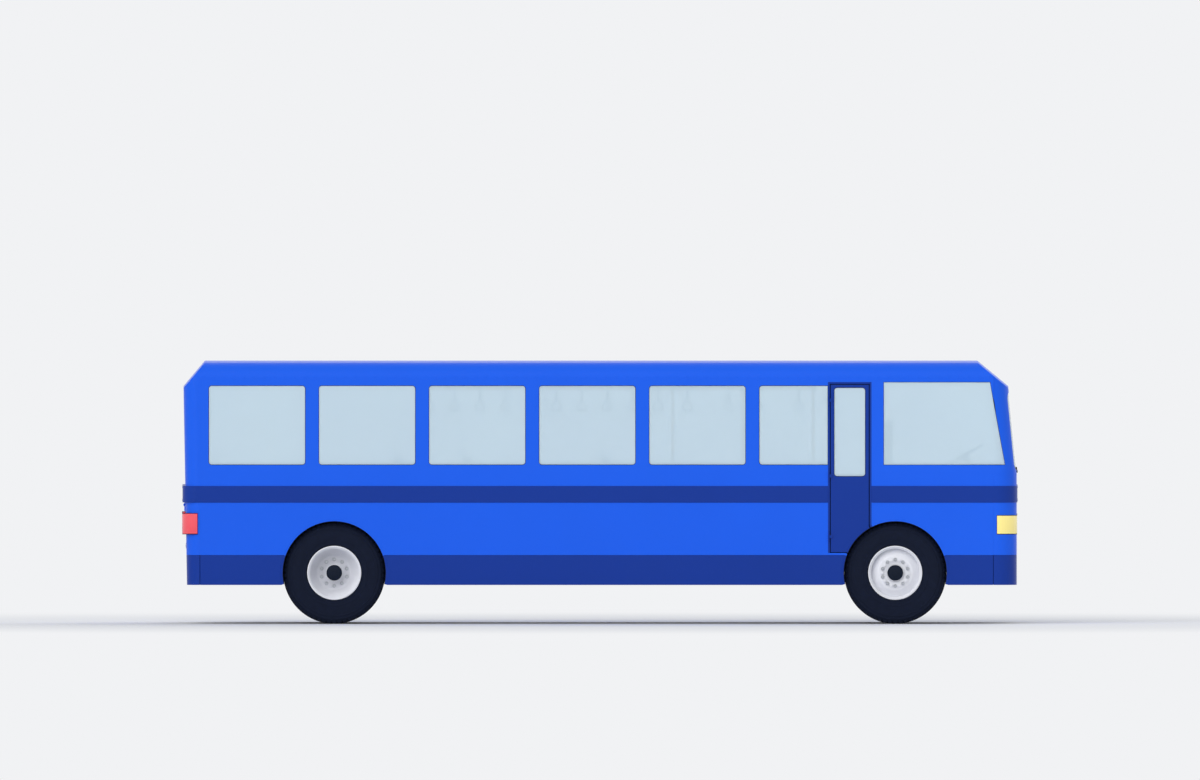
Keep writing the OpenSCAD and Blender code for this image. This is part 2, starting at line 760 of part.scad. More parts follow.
// A steering knuckle: fork and kingpin, stub axle and steering arm
spindle_r = 38;
fork_h = 32;
boss_h = 90;
fork_gap = 2;
fork_z = boss_h / 2 + fork_gap + fork_h / 2;
tie_pin_r = 12;
arm_x = front_x - steer_arm_l;
arm_h = 30;
arm_z = tyre_r - fork_z - fork_h / 2 - arm_h;
tie_boss_z = tyre_r - tie_drop + 20;
module knuckle(left) color(steel_grey) mirrored(left) difference() {
    union() {
        translate([front_x, -kingpin_y, tyre_r])
            cylinder(h = 2 * fork_z + fork_h + 20, r = kingpin_r, center = true);
        for (s = [-1, 1]) {
            translate([front_x, -kingpin_y, tyre_r + s * fork_z]) cylinder(h = fork_h, r = 46, center = true);
            translate([front_x, -kingpin_y - 48, tyre_r + s * fork_z]) cube([80, 96, fork_h], center = true);
        }
        block([front_x - 60, -kingpin_y - 100, tyre_r - fork_z - fork_h / 2],
            [front_x + 60, -kingpin_y - 62, tyre_r + fork_z + fork_h / 2]);
        translate([front_x, -kingpin_y - 95, tyre_r]) rotate([90, 0, 0])
            cylinder(h = front_wheel_y + front_spindle_z1 - kingpin_y - 95, r = spindle_r);
        hull() for (end = [[front_x, 40], [arm_x, 24]])
            translate([end[0], -kingpin_y, arm_z]) cylinder(h = arm_h + eps, r = end[1], $fn = 32);
        translate([arm_x, -kingpin_y, tie_boss_z])
            cylinder(h = arm_z + arm_h - tie_boss_z, r = 26);
    }
    translate([arm_x, -kingpin_y, tyre_r - tie_drop]) cylinder(h = 200, r = tie_pin_r + 0.1, center = true);
}
module knuckle_right() knuckle(false);
module knuckle_left() knuckle(true);

// The tie rod joins both steering arms from below
rod_r = 15;
module tie_rod() color(steel_grey) translate([arm_x, 0, tyre_r - tie_drop]) {
    rotate([90, 0, 0]) cylinder(h = 2 * kingpin_y - 40, r = rod_r, center = true);
    for (s = [-1, 1]) translate([0, s * kingpin_y, 0]) {
        cylinder(h = 36, r = 28, center = true);
        cylinder(h = 62, r = tie_pin_r);
    }
}

// The rear axle: a tube with its final drive in the middle
axle_tube_r = 66;
module rear_axle() color(steel_grey) {
    translate([axle_x, 0, tyre_r]) rotate([90, 0, 0])
        cylinder(h = 2 * (rear_inner_y + 40), r = axle_tube_r, center = true);
    translate([axle_x, 0, tyre_r]) sphere(r = 165);
    translate([axle_x, 0, tyre_r]) rotate([90, 0, 0])
        cylinder(h = 2 * rear_outer_y, r = spindle_r, center = true);
    translate([axle_x - 260, 0, tyre_r]) rotate([0, 90, 0]) cylinder(h = 200, r = 70);
    translate([engine_x0 + engine_l, 0, tyre_r]) rotate([0, 90, 0])
        cylinder(h = axle_x - 200 - engine_x0 - engine_l, r = 45);
}

// Leaf springs: the front pair lies on its axle, the rear pair under it. Lengths from the main leaf down.
leaf_lengths = [1080, 860, 620, 380];
spring_y = rail_y + rail_w / 2 + hanger_t + spring_w / 2;
spring_rise = 68;
spring_eye_r = 24;
hanger_r = 40;
hanger_set = 20;
spring_arc_r = (pow(leaf_lengths[0] / 2, 2) + pow(spring_rise, 2)) / (2 * spring_rise);
module springs() color(steel_grey) for (s = [-1, 1]) {
    spring(front_x, s, beam_z1 + len(leaf_lengths) * leaf_t);
    spring(axle_x, s, tyre_r - axle_tube_r);
}
module spring(x, s, top) translate([x, s * spring_y, 0]) {
    along_y(spring_w) {
        for (i = [0:len(leaf_lengths) - 1]) intersection() {
            translate([0, top + spring_arc_r]) difference() {
                circle(spring_arc_r + (i + 1) * leaf_t, $fn = 256);
                circle(spring_arc_r + i * leaf_t - (i > 0 ? 1 : 0), $fn = 256);
            }
            translate([-leaf_lengths[i] / 2, top - 200]) square([leaf_lengths[i], 400]);
        }
        for (e = [-1, 1]) translate([e * (leaf_lengths[0] / 2 + 6), top + spring_rise]) circle(spring_eye_r);
    }
    // Hangers from the frame rail's outer side to both eyes
    for (e = [-1, 1]) translate([e * (leaf_lengths[0] / 2 + 6), 0, 0]) {
        translate([0, -s * (spring_w + hanger_t) / 2, 0]) along_y(hanger_t) {
            translate([-hanger_r, top + spring_rise])
                square([2 * hanger_r, rail_top_z - top - spring_rise - hanger_set]);
            translate([0, top + spring_rise]) circle(hanger_r);
        }
    }
}

// Half of a tyre's section, from its middle plane outward: radius and distance from that plane
tyre_half = tyre_w / 2;
shoulder_r = tyre_r - 14;
bead_r = rim_r - 20;
bead_z = tyre_half - 33;
side_r = rim_r + 14;
side_z = tyre_half - 10;
tyre_outline = [
    [tyre_r, tyre_half - 46], [shoulder_r, tyre_half - 20], [tyre_r - 50, tyre_half - 5],
    [rim_r + 120, tyre_half], [side_r, side_z], [bead_r, bead_z],
    [bead_r, bead_z - 29], [rim_r + 24, tyre_half - 40], [tyre_r - 62, tyre_half - 32],
    [tyre_r - 34, tyre_half - 62]];
module tyre() rotate_extrude($fn = 72) polygon(doubled(tyre_outline));

// A rim's barrel and flanges, about its middle plane. The flange leans against the tyre's side.
barrel_half = tyre_half - 28;
barrel_in_r = bead_r - 12;
seat_gap = 0.4;
flange_z = bead_z + (side_z - bead_z) * (rim_r - bead_r) / (side_r - bead_r) + seat_gap;
module rim_barrel() rotate_extrude($fn = 72)
    polygon(doubled([[barrel_in_r, barrel_half - 4], [rim_r - 10, flange_z + 8], [rim_r, flange_z + 5],
        [rim_r, flange_z], [bead_r - seat_gap, bead_z + seat_gap]]));

// A wheel disc. It meets the barrel at the height "edge" and carries its nuts at the height "face".
disc_t = 16;
disc_r = nut_circle_r + 32;
module disc(edge, face) rotate_extrude($fn = 72) {
    outer_z = edge + (face - edge) / 3;
    inner_z = face - (face - edge) * 0.12;
    polygon([[barrel_in_r + 2, edge], [barrel_in_r - 30, outer_z], [disc_r + 20, inner_z],
        [disc_r, face], [hub_r - 2, face], [hub_r - 2, face - disc_t], [disc_r - 4, face - disc_t],
        [disc_r + 14, inner_z - disc_t], [barrel_in_r - 34, outer_z - disc_t],
        [barrel_in_r + 2, edge - disc_t]]);
}

nut_r = 17;
nut_h = 27;
module nuts(face) for (i = [0:nut_count - 1]) rotate([0, 0, i * 360 / nut_count])
    translate([nut_circle_r, 0, face - 2]) cylinder(h = nut_h, r = nut_r, $fn = 6);

// Heights below are measured outward from the outer tyre's middle plane
hub_r = 64;
drum_r = 205;
drum_t = 14;
front_face = 96;
front_edge = 40;
front_hub_z0 = kingpin_y + 105 - front_wheel_y;
front_spindle_z1 = front_face + 10;
twin_plane = -(tyre_w + twin_gap) / 2;
rear_face_z = twin_plane + disc_t;
rear_edge = -70;
rear_hub_z0 = -(rear_outer_y - rear_inner_y) + 45;
rear_spindle_z1 = 0;

module front_wheel() difference() {
    union() {
        rim_barrel();
        disc(front_edge, front_face);
        nuts(front_face);
        translate([0, 0, front_hub_z0]) cylinder(h = front_face - front_hub_z0, r = hub_r);
        translate([0, 0, front_face - 2 * disc_t]) cylinder(h = disc_t, r = disc_r);
        drum(front_hub_z0, front_face - 2 * disc_t);
        cap(front_face);
    }
    translate([0, 0, front_hub_z0 - eps])
        cylinder(h = front_spindle_z1 + 4 - front_hub_z0, r = spindle_r + hinge_fit);
}

module rear_wheel() difference() {
    union() {
        for (inner = [0, 1]) translate([0, 0, inner * 2 * twin_plane]) rim_barrel();
        disc(rear_edge, rear_face_z);
        translate([0, 0, 2 * twin_plane]) mirror([0, 0, 1]) disc(rear_edge, rear_face_z);
        nuts(rear_face_z);
        translate([0, 0, rear_hub_z0]) cylinder(h = rear_face_z - rear_hub_z0, r = hub_r);
        translate([0, 0, twin_plane - 2 * disc_t]) cylinder(h = disc_t, r = disc_r);
        drum(rear_hub_z0 - 60, twin_plane - 2 * disc_t);
        translate([0, 0, rear_face_z]) cylinder(h = -rear_face_z, r = hub_cap_r - 6);
        cap(0);
    }
    translate([0, 0, rear_hub_z0 - eps])
        cylinder(h = rear_spindle_z1 + 4 - rear_hub_z0, r = spindle_r + hinge_fit);
}

// A brake drum, open inward, and a hub cap
module drum(z0, z1) difference() {
    translate([0, 0, z0]) cylinder(h = z1 + disc_t - z0, r = drum_r);
    translate([0, 0, z0 - eps]) cylinder(h = z1 - z0 + eps, r = drum_r - drum_t);
}
module cap(z) rotate_extrude()
    polygon([[0, z], [hub_cap_r, z], [hub_cap_r, z + 22], [hub_cap_r - 12, z + 36], [0, z + 42]]);

// Puts a wheel that is modelled about Z at an axle, its outer side outward
module on_axle(x, y, left) mirrored(left) translate([x, -y, tyre_r]) rotate([90, 0, 0]) children();

module tyre_front(left) color(tyre_black) on_axle(front_x, front_wheel_y, left) tyre();
module tyre_rear(left) color(tyre_black) on_axle(axle_x, rear_outer_y, left)
    for (inner = [0, 1]) translate([0, 0, inner * 2 * twin_plane]) tyre();
module tyre_front_right() tyre_front(false);
module tyre_front_left() tyre_front(true);
module tyre_rear_right() tyre_rear(false);
module tyre_rear_left() tyre_rear(true);

module wheel_front(left) color(rim_grey) on_axle(front_x, front_wheel_y, left) front_wheel();
module wheel_rear(left) color(rim_grey) on_axle(axle_x, rear_outer_y, left) rear_wheel();
module wheel_front_right() wheel_front(false);
module wheel_front_left() wheel_front(true);
module wheel_rear_right() wheel_rear(false);
module wheel_rear_left() wheel_rear(true);

// Seats in the saloon, in pairs on both sides: place along the bus and height of the floor there
first_row_gap = 1500;
front_rows = 4;
seat_rows = concat([[rear_x + 420, deck_z1]],
    [for (i = [0:front_rows - 1]) [deck_x1 + first_row_gap + i * seat_pitch, door_z]]);
seat_x = 0;
seat_floor = 1;
cushion_t = 90;
back_t = 80;
back_h = 620;
shell_t = 14;
seat_half_l = 210;

// Gaps from the wall to a seat and between the two seats of a pair, which a link under the pans closes
seat_wall_gap = 30;
pair_gap = 12;
leg_r = 30;
link_size = [60, 40, 9];
module at_seats(row) for (s = [-1, 1], k = [0, 1]) {
    y = floor_half_w - seat_wall_gap - seat_w / 2 - k * (seat_w + pair_gap);
    translate([row[seat_x], s * y, row[seat_floor] + seat_z]) children();
}

module seat_frames() color("#3F454D") for (row = seat_rows) {
    at_seats(row) {
        along_y(seat_w) shell_outline();
        translate([-seat_half_l - shell_t / 2, 0, back_h]) grab_handle();
        translate([0, 0, -seat_z]) cylinder(h = seat_z - cushion_t - shell_t / 2, r = leg_r);
    }
    link_y = floor_half_w - seat_wall_gap - seat_w - pair_gap / 2;
    link_z = row[seat_floor] + seat_z - cushion_t - shell_t + 5;
    for (s = [-1, 1]) translate([row[seat_x] - leg_r, s * link_y, link_z]) cube(link_size, center = true);
}
// A seat shell from the side: pan and back in one bent sheet, with a rolled front edge
shell_r = 60;
module shell_outline() {
    difference() {
        round_rect(-seat_half_l - shell_t, -cushion_t - shell_t, far, far, shell_r);
        round_rect(-seat_half_l, -cushion_t, far, far, shell_r - shell_t);
        translate([seat_half_l - shell_t / 2, -far]) square([2 * far, 2 * far]);
        translate([-far, back_h - shell_t / 2]) square([2 * far, 2 * far]);
    }
    translate([seat_half_l - shell_t / 2, -cushion_t - shell_t / 2]) circle(shell_t / 2);
    translate([-seat_half_l - shell_t / 2, back_h - shell_t / 2]) circle(shell_t / 2);
}
// A bow on top of the back, for those who stand in the aisle
handle_r = 62;
module grab_handle() rotate([0, 90, 0]) difference() {
    rotate_extrude() translate([handle_r, 0]) circle(r = 10, $fn = 24);
    translate([far / 2 + shell_t / 2, 0, 0]) cube([far, far, far], center = true);
}

soft_gap = 0.3;
module seat_cushions() color("#2E4A8C") for (row = seat_rows) at_seats(row) {
    half = seat_w / 2 - 8;
    block([-seat_half_l + back_t + 10, -half, -cushion_t + soft_gap], [seat_half_l + 5, half, 0]);
    block([-seat_half_l + soft_gap, -half, shell_r - shell_t - cushion_t + 6],
        [-seat_half_l + back_t, half, back_h - 10]);
}

// Driver's place
driver_x = front_x + 200;
driver_y = (front_house_y + floor_half_w) / 2;
driver_z = front_house_z;
pedestal_r = 110;
pedestal_h = 260;
seat_plate_t = 40;
driver_seat_w = 440;
driver_cushion_l = 460;
driver_cushion_t = 110;
driver_back_t = 105;
driver_back_h = 760;
module driver_seat() color("#2B2F36") translate([driver_x, driver_y, driver_z]) {
    half = driver_seat_w / 2;
    pan_z = pedestal_h + seat_plate_t;
    back_x = -half - 5;
    cylinder(h = pedestal_h, r = pedestal_r);
    block([-half - 10, -half - 10, pedestal_h - eps], [half + 10, half + 10, pan_z]);
    block([back_x, -half, pan_z], [back_x + driver_cushion_l, half, pan_z + driver_cushion_t]);
    block([back_x - driver_back_t, -half, pan_z - eps], [back_x, half, pan_z + driver_back_h]);
}

dash_l = 430;
dash_z1 = knee_z - 30;
dash_face_h = 300;
knee_room = 740;
module dashboard() color("#2B2F36") difference() {
    intersection() {
        translate([nose_x, 0, 0]) linear_extrude(far) nose_plan(wall + 0.5);
        dash_block();
    }
    // Knee room in front of the driver
    block([nose_x - dash_l - eps, driver_y - knee_room / 2, 0],
        [nose_x - dash_l + 130, driver_y + knee_room / 2, dash_z1 - dash_face_h]);
}
module dash_block() along_y(2 * body_w)
    polygon([[nose_x - dash_l, door_z], [nose_x, door_z], [nose_x, dash_z1],
        [nose_x - dash_l + 100, dash_z1], [nose_x - dash_l, dash_z1 - 80]]);

wheel_tilt = 30;
wheel_ahead = 560;
wheel_above = 660;
column_l = 430;
hand_r = 15;
column_r = 32;
module steering_wheel() color("#22262C") difference() {
    translate([driver_x + wheel_ahead, driver_y, driver_z + wheel_above]) rotate([0, -wheel_tilt, 0]) {
        rotate_extrude($fn = 48) translate([wheel_rim_r, 0]) circle(r = hand_r, $fn = 24);
        cylinder(h = 50, r = 55, center = true);
        for (a = [90, 210, 330]) rotate([0, 0, a]) translate([0, -20, -10]) cube([wheel_rim_r, 40, 16]);
        translate([0, 0, -column_l]) cylinder(h = column_l, r = column_r);
    }
    dash_block();
}

// Poles stand from floor to ceiling, and carry two long rails
rail_x_start = seat_rows[1][seat_x];
pole_x0 = seat_rows[front_rows][seat_x] + 560;
pole_x1 = front_x - 900;
pole_xs = [pole_x0, (pole_x0 + pole_x1) / 2, pole_x1];
pole_y = 430;
top_rail_z = roof_z - wall - 240;
ceiling_z = roof_z - wall - 0.5;
module handrails() color("#F2B705") for (s = [-1, 1]) {
    for (x = pole_xs) translate([x, s * pole_y, door_z]) cylinder(h = ceiling_z - door_z, r = rail_r);
    translate([rail_x_start, s * pole_y, top_rail_z]) rotate([0, 90, 0])
        cylinder(h = pole_x1 - rail_x_start, r = rail_r);
    for (x = [rail_x_start, rail_x_start + 2 * seat_pitch])
        translate([x, s * pole_y, top_rail_z]) cylinder(h = ceiling_z - top_rail_z, r = rail_r);
}

// Tanks hang beside the frame rails: rear end, length, radius and side of the bus
fuel_tank_l = cross_pitch - 190;
air_tank_l = cross_pitch - 270;
under_tanks = [[cross_xs[1] + 95, fuel_tank_l, 150, -1],
    [cross_xs[1] + 135, air_tank_l, 110, 1],
    [cross_xs[2] + 135, air_tank_l, 110, 1]];
tank_x = 0;
tank_l = 1;
tank_r = 2;
tank_side = 3;
tank_gap = 30;
saddle_w = 30;
saddle_h = 80;
rail_out_y = rail_y + rail_w / 2;
module tanks() color("#3A3E45") for (t = under_tanks) mirrored(t[tank_side] > 0) {
    y = rail_out_y + tank_gap + t[tank_r];
    translate([t[tank_x], -y, rail_top_z - 8 - t[tank_r]]) rotate([0, 90, 0])
        cylinder(h = t[tank_l], r = t[tank_r]);
    // Saddles that hold the tank to the rail
    for (k = [0.2, 0.8]) {
        x = t[tank_x] + k * t[tank_l];
        block([x - saddle_w / 2, -y, rail_low_z + 20],
            [x + saddle_w / 2, -rail_out_y, rail_low_z + 20 + saddle_h]);
    }
}
// The silencer beside the engine, held to the frame rail, and its tail pipe
silencer_l = 480;
silencer_r = 120;
tail_pipe_r = 40;
module exhaust() color("#6F747B") {
    y = rail_out_y + 60 + silencer_r;
    z = skirt_z + 20 + silencer_r;
    translate([rail_x0, y, z]) rotate([0, 90, 0]) cylinder(h = silencer_l, r = silencer_r);
    translate([engine_x0 - 40, y, z]) rotate([0, 90, 0])
        cylinder(h = rail_x0 - engine_x0 + 60, r = tail_pipe_r);
    for (x = [rail_x0 + 60, rail_x0 + silencer_l - 80])
        block([x, rail_out_y, rail_low_z + 20], [x + saddle_w, y, rail_low_z + 60]);
}

// Wipers lie along the windscreen's lower edge: arm and blade from a spindle in the sill
wiper_l = 760;
wiper_arm_l = 430;
spindle_y = 120;
spindle_z = 30;
arm_half = 7;
module wipers() color("#1A1D22") translate([nose_x, 0, knee_z]) rotate([0, -nose_lean, 0])
    for (left = [false, true]) mirrored(left) {
        end_y = spindle_y + wiper_arm_l;
        blade_z = (screen_z0 - knee_z) / cos(nose_lean) + 12;
        translate([0.3, -spindle_y, spindle_z]) rotate([0, 90, 0]) cylinder(h = 12, r = 2 * arm_half);
        block([2, -end_y, spindle_z - arm_half], [9, -spindle_y, spindle_z + arm_half]);
        block([2, -end_y - 2 * arm_half, spindle_z - arm_half], [9, -end_y + 2 * arm_half, blade_z + 5]);
        block([-glass_set + 0.3, -end_y - wiper_l / 2, blade_z - 5],
            [3, -end_y + wiper_l / 2, blade_z + 5]);
    }

roof();
side_wall_right();
side_wall_left();
nose_panel();
screen_frame();
tail_panel();
skirts();
bumpers();
belt_rail();
windscreen();
rear_window();
side_glass();
headlamps();
tail_lamps();
wipers();
door_hinges();
door_right();
door_left();
door_glass_right();
door_glass_left();
engine_lid();
floor_deck();
wheel_housings();
chassis_frame();
cross_members();
tow_brackets();
engine();
tanks();
exhaust();
front_axle();
knuckle_right();
knuckle_left();
tie_rod();
rear_axle();
springs();
tyre_front_right();
tyre_front_left();
tyre_rear_right();
tyre_rear_left();
wheel_front_right();
wheel_front_left();
wheel_rear_right();
wheel_rear_left();
seat_frames();
seat_cushions();
driver_seat();
dashboard();
steering_wheel();
handrails();
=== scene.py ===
"""Dresses an airport passenger bus. Metres: X forward, Y to the left, Z up from the ground."""
import json
import math

import bmesh
import bpy
import numpy as np
from mathutils import Matrix, Vector

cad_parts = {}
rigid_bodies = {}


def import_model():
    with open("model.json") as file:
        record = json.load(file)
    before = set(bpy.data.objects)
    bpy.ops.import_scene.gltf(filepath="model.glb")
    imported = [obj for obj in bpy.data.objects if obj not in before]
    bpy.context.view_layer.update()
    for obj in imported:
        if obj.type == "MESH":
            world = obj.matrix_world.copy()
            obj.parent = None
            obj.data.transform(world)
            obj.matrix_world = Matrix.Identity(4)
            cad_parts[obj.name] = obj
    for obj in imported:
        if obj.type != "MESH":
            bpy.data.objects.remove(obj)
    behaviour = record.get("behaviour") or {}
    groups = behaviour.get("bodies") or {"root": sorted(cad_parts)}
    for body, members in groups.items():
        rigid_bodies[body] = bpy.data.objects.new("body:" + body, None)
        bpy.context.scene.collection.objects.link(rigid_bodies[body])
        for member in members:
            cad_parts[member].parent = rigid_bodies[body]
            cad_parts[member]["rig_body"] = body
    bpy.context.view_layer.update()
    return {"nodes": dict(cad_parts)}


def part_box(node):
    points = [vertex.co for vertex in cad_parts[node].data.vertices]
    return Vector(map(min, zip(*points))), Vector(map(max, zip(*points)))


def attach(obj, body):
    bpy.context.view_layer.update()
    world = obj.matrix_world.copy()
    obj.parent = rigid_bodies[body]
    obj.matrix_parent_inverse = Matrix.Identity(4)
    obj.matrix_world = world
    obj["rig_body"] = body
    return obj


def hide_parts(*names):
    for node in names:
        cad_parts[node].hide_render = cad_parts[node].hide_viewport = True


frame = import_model()

bl_info = {
    "name": "Apron Bus Finish",
    "version": (1, 0, 0),
    "blender": (4, 5, 0),
    "location": "View3D > Sidebar > Apron bus",
    "description": "Paint, glass, rubber, seats and running gear details of an airport passenger bus",
    "category": "Object",
}


def linear(code):
    """Linear RGBA of an sRGB hex colour."""
    channels = [int(code[i:i + 2], 16) / 255 for i in (1, 3, 5)]
    return tuple(c / 12.92 if c <= 0.04045 else ((c + 0.055) / 1.055) ** 2.4 for c in channels) + (1.0,)


def colour_property(name, description, code):
    return bpy.props.FloatVectorProperty(
        name=name, description=description, subtype="COLOR", size=4, min=0, max=1, default=linear(code))


def length_property(name, description, metres):
    return bpy.props.FloatProperty(
        name=name, description=description, default=metres, min=0.0001, unit="LENGTH", precision=4)


class CoachColours(bpy.types.PropertyGroup):
    """Colours of the bus"""
    body: colour_property("Body", "Enamel of roof, walls, nose and tail", "#175EE8")
    trim: colour_property("Trim", "Enamel of belt rail, skirts, bumpers and doors", "#0C3593")
    glass: colour_property("Glass", "Tint of the windows", "#DCF2FF")
    headlamp: colour_property("Headlamp", "Lenses of the headlamps", "#FBE788")
    tail_lamp: colour_property("Tail lamp", "Lenses of the tail lamps", "#EE4252")
    tyre: colour_property("Tyre", "Rubber of the tyres", "#11182A")
    rim: colour_property("Rim", "Paint of the wheels", "#E6E7EC")
    hub: colour_property("Hub", "Paint of the hub caps", "#101928")
    seat: colour_property("Seat cloth", "Ground colour of the seat cloth", "#2C4E9C")
    pole: colour_property("Pole", "Powder coat of the handrails", "#F0B323")


class CoachSizes(bpy.types.PropertyGroup):
    """Sizes of the details"""
    edge: length_property("Panel edge", "Radius along the edges of the body panels", 0.004)
    bead: length_property("Glazing bead", "Radius of the rubber round the glass", 0.0055)
    rivet_pitch: length_property("Rivet pitch", "Distance between the rivets of a seam", 0.11)
    rivet_radius: length_property("Rivet radius", "Radius of a rivet's head", 0.0065)
    tread_depth: length_property("Tread depth", "Depth of the tyres' grooves", 0.014)
    strap_pitch: length_property("Strap pitch", "Distance between the hanging grips", 0.26)
    tread_blocks: bpy.props.IntProperty(
        name="Tread blocks", description="Number of tread blocks round a tyre", default=58, min=20, max=90)


def colours():
    return bpy.context.scene.coach_colours


def sizes():
    return bpy.context.scene.coach_sizes


# Places that the pieces share, from the frame
WALL_LOW, WALL_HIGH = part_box("side_wall_right")
BELT_LOW, BELT_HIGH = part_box("belt_rail")
SKIRT_LOW, SKIRT_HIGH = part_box("skirts")
ROOF_LOW, ROOF_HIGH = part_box("roof")
TYRE_LOW, TYRE_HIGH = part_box("tyre_front_right")
TWIN_LOW, TWIN_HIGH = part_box("tyre_rear_right")
SKIN_Y = abs(WALL_LOW.y)
WALL_T = WALL_HIGH.y - WALL_LOW.y
INNER_Y = SKIN_Y - WALL_T
# The doorways' sills lie level with the saloon floor
FLOOR_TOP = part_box("door_hinges")[0].z
AXLE_FRONT = (TYRE_LOW + TYRE_HIGH) / 2
AXLE_REAR = (TWIN_LOW + TWIN_HIGH) / 2
TYRE_R = (TYRE_HIGH.x - TYRE_LOW.x) / 2
TYRE_HALF = (TYRE_HIGH.y - TYRE_LOW.y) / 2
# Distance between the middles of twin tyres
TWIN_PITCH = TWIN_HIGH.y - TWIN_LOW.y - 2 * TYRE_HALF
ARCH_R = TYRE_R + 0.030
NOSE_CORNER_R, TAIL_CORNER_R = 0.220, 0.150
SPRING_W = 0.060
FRONT_LAMP_Y, REAR_LAMP_Y = SKIN_Y - 0.390, SKIN_Y - 0.240
# The rear wall leans: how far it goes forward for each metre down, and the height that this counts from
TAIL_LEAN_X = -0.038 / 2.167
TAIL_BROW_Z = 2.596
RAIL_R = 0.017
RAIL_X0, RAIL_X1 = -2.0395, 2.3475
POLE_XS = (0.8005, 1.574, 2.3475)
TOP_RAIL_Z = 2.587
SIDES = (-1, 1)
# Smallest radius of a turned shape, whose pole then closes when its doubles are merged
POLE_R = 0.0005


def lid_face(z):
    """X of the rear wall's outer face at a height."""
    return ROOF_LOW.x + TAIL_LEAN_X * (z - TAIL_BROW_Z)


# Nodes and materials

def add_node(tree, kind, inputs=None, **settings):
    """Adds a node, sets its properties, and gives each input a value, or a link from a socket or node."""
    node = tree.nodes.new(kind)
    for name, value in settings.items():
        setattr(node, name, value)
    for key, value in (inputs or {}).items():
        value = value.outputs[0] if isinstance(value, bpy.types.Node) else value
        if isinstance(value, bpy.types.NodeSocket):
            tree.links.new(value, node.inputs[key])
        else:
            node.inputs[key].default_value = value
    return node


def start_material(name, **shader_values):
    """A material with one Principled shader, whose uniform numbers stand on its own sockets."""
    material = bpy.data.materials.new(name)
    material.use_nodes = True
    tree = material.node_tree
    tree.nodes.clear()
    shader = add_node(tree, "ShaderNodeBsdfPrincipled",
                      {key.replace("_", " "): value for key, value in shader_values.items()})
    add_node(tree, "ShaderNodeOutputMaterial", {"Surface": shader})
    return material, tree, shader


def texture(tree, kind, width, inputs=None, output=0, stretch=None):
    """A texture whose features are width metres wide, in the bus's own coordinates."""
    place = add_node(tree, "ShaderNodeTexCoord").outputs["Object"]
    if stretch:
        place = add_node(tree, "ShaderNodeMapping", {"Vector": place, "Scale": stretch})
    return add_node(tree, f"ShaderNodeTex{kind}",
                    {"Vector": place, "Scale": 1 / width, **(inputs or {})}).outputs[output]


def shades(colour, spread):
    """The colour a share darker and the same share lighter."""
    return [tuple(min(1.0, c * (1 + way * spread)) for c in colour[:3]) + (1.0,) for way in (-1, 1)]


def coated(name, pair, blotches, *skins, rough=None, **shader_values):
    """A material whose colour wanders between a pair by one texture, with skins bumped over each other.

    Each skin is its depth in metres and its texture. Rough is the roughness where the last skin is low and high.
    """
    material, tree, shader = start_material(name, **shader_values)
    joins = {"Base Color": add_node(tree, "ShaderNodeMix", {0: texture(tree, *blotches), 6: pair[0], 7: pair[1]},
                                    data_type="RGBA").outputs[2]}
    for depth, grain in skins:
        height = texture(tree, *grain)
        inputs = {"Height": height, "Distance": depth, "Strength": 1.0}
        if "Normal" in joins:
            inputs["Normal"] = joins["Coat Normal"] = joins["Normal"]
        joins["Normal"] = add_node(tree, "ShaderNodeBump", inputs).outputs[0]
    if rough:
        joins["Roughness"] = add_node(tree, "ShaderNodeMapRange", {0: height, 3: rough[0], 4: rough[1]}).outputs[0]
    for key, socket in joins.items():
        tree.links.new(socket, shader.inputs[key])
    return material


def coach_enamel(name, colour):
    """Two-pack coach enamel, sprayed on sheet steel: a deep clear gloss over long waves in the panels."""
    # The long waves are the sheet's own, and the short ones orange peel, coarser than real so that they show
    return coated(name, shades(colour, 0.035), ("Noise", 0.9), (0.0009, ("Noise", 0.55, {"Detail": 1.0})),
                  (0.00004, ("Noise", 0.006, {"Detail": 1.0})),
                  Roughness=0.36, Specular_IOR_Level=0.13, Coat_Weight=0.12, Coat_Roughness=0.08)


def tinted_glass():
    """Laminated safety glass with a pale solar film: mostly the film's own tint, with a hint of the inside."""
    waves = ("Noise", 0.8, {"Detail": 0.0})
    return coated("laminated_glass", shades(colours().glass, 0.02), waves, (0.0006, waves),
                  Roughness=0.05, Alpha=0.54, IOR=1.45)


def moulded_rubber(name, colour, grain=0.004, rough=0.62):
    """EPDM rubber, extruded or moulded: dull, slightly mottled, with a fine skin."""
    return coated(name, shades(colour, 0.18), ("Noise", 0.06), (0.0003, ("Noise", grain, {"Detail": 3.0})),
                  rough=(rough - 0.08, rough + 0.12), Specular_IOR_Level=0.15)


def wheel_enamel(name, colour, gloss=0.4):
    """Baked wheel enamel on pressed steel: satin, with a faint pebble from the press."""
    return coated(name, shades(colour, 0.03), ("Noise", 0.05), (0.00012, ("Noise", 0.008)),
                  Roughness=0.4, Specular_IOR_Level=gloss, Coat_Weight=gloss * 0.4, Coat_Roughness=0.15)


def chassis_coat(name, code, rough=0.5):
    """Chassis black over mill scale and welds: half dull and uneven, thicker here and there."""
    return coated(name, shades(linear(code), 0.22), ("Noise", 0.12), (0.0006, ("Noise", 0.02, {"Detail": 4.0})),
                  rough=(rough - 0.14, rough + 0.16))


def bare_steel(name, code, rough=0.34):
    """Bright steel, turned or drawn: fine lines along one way."""
    drawn = ("Noise", 1 / 160, {"Detail": 3.0}, 0, (1, 1, 14))
    return coated(name, shades(linear(code), 0.08), ("Noise", 0.05), (0.00008, drawn),
                  rough=(rough - 0.1, rough + 0.12), Metallic=1.0)


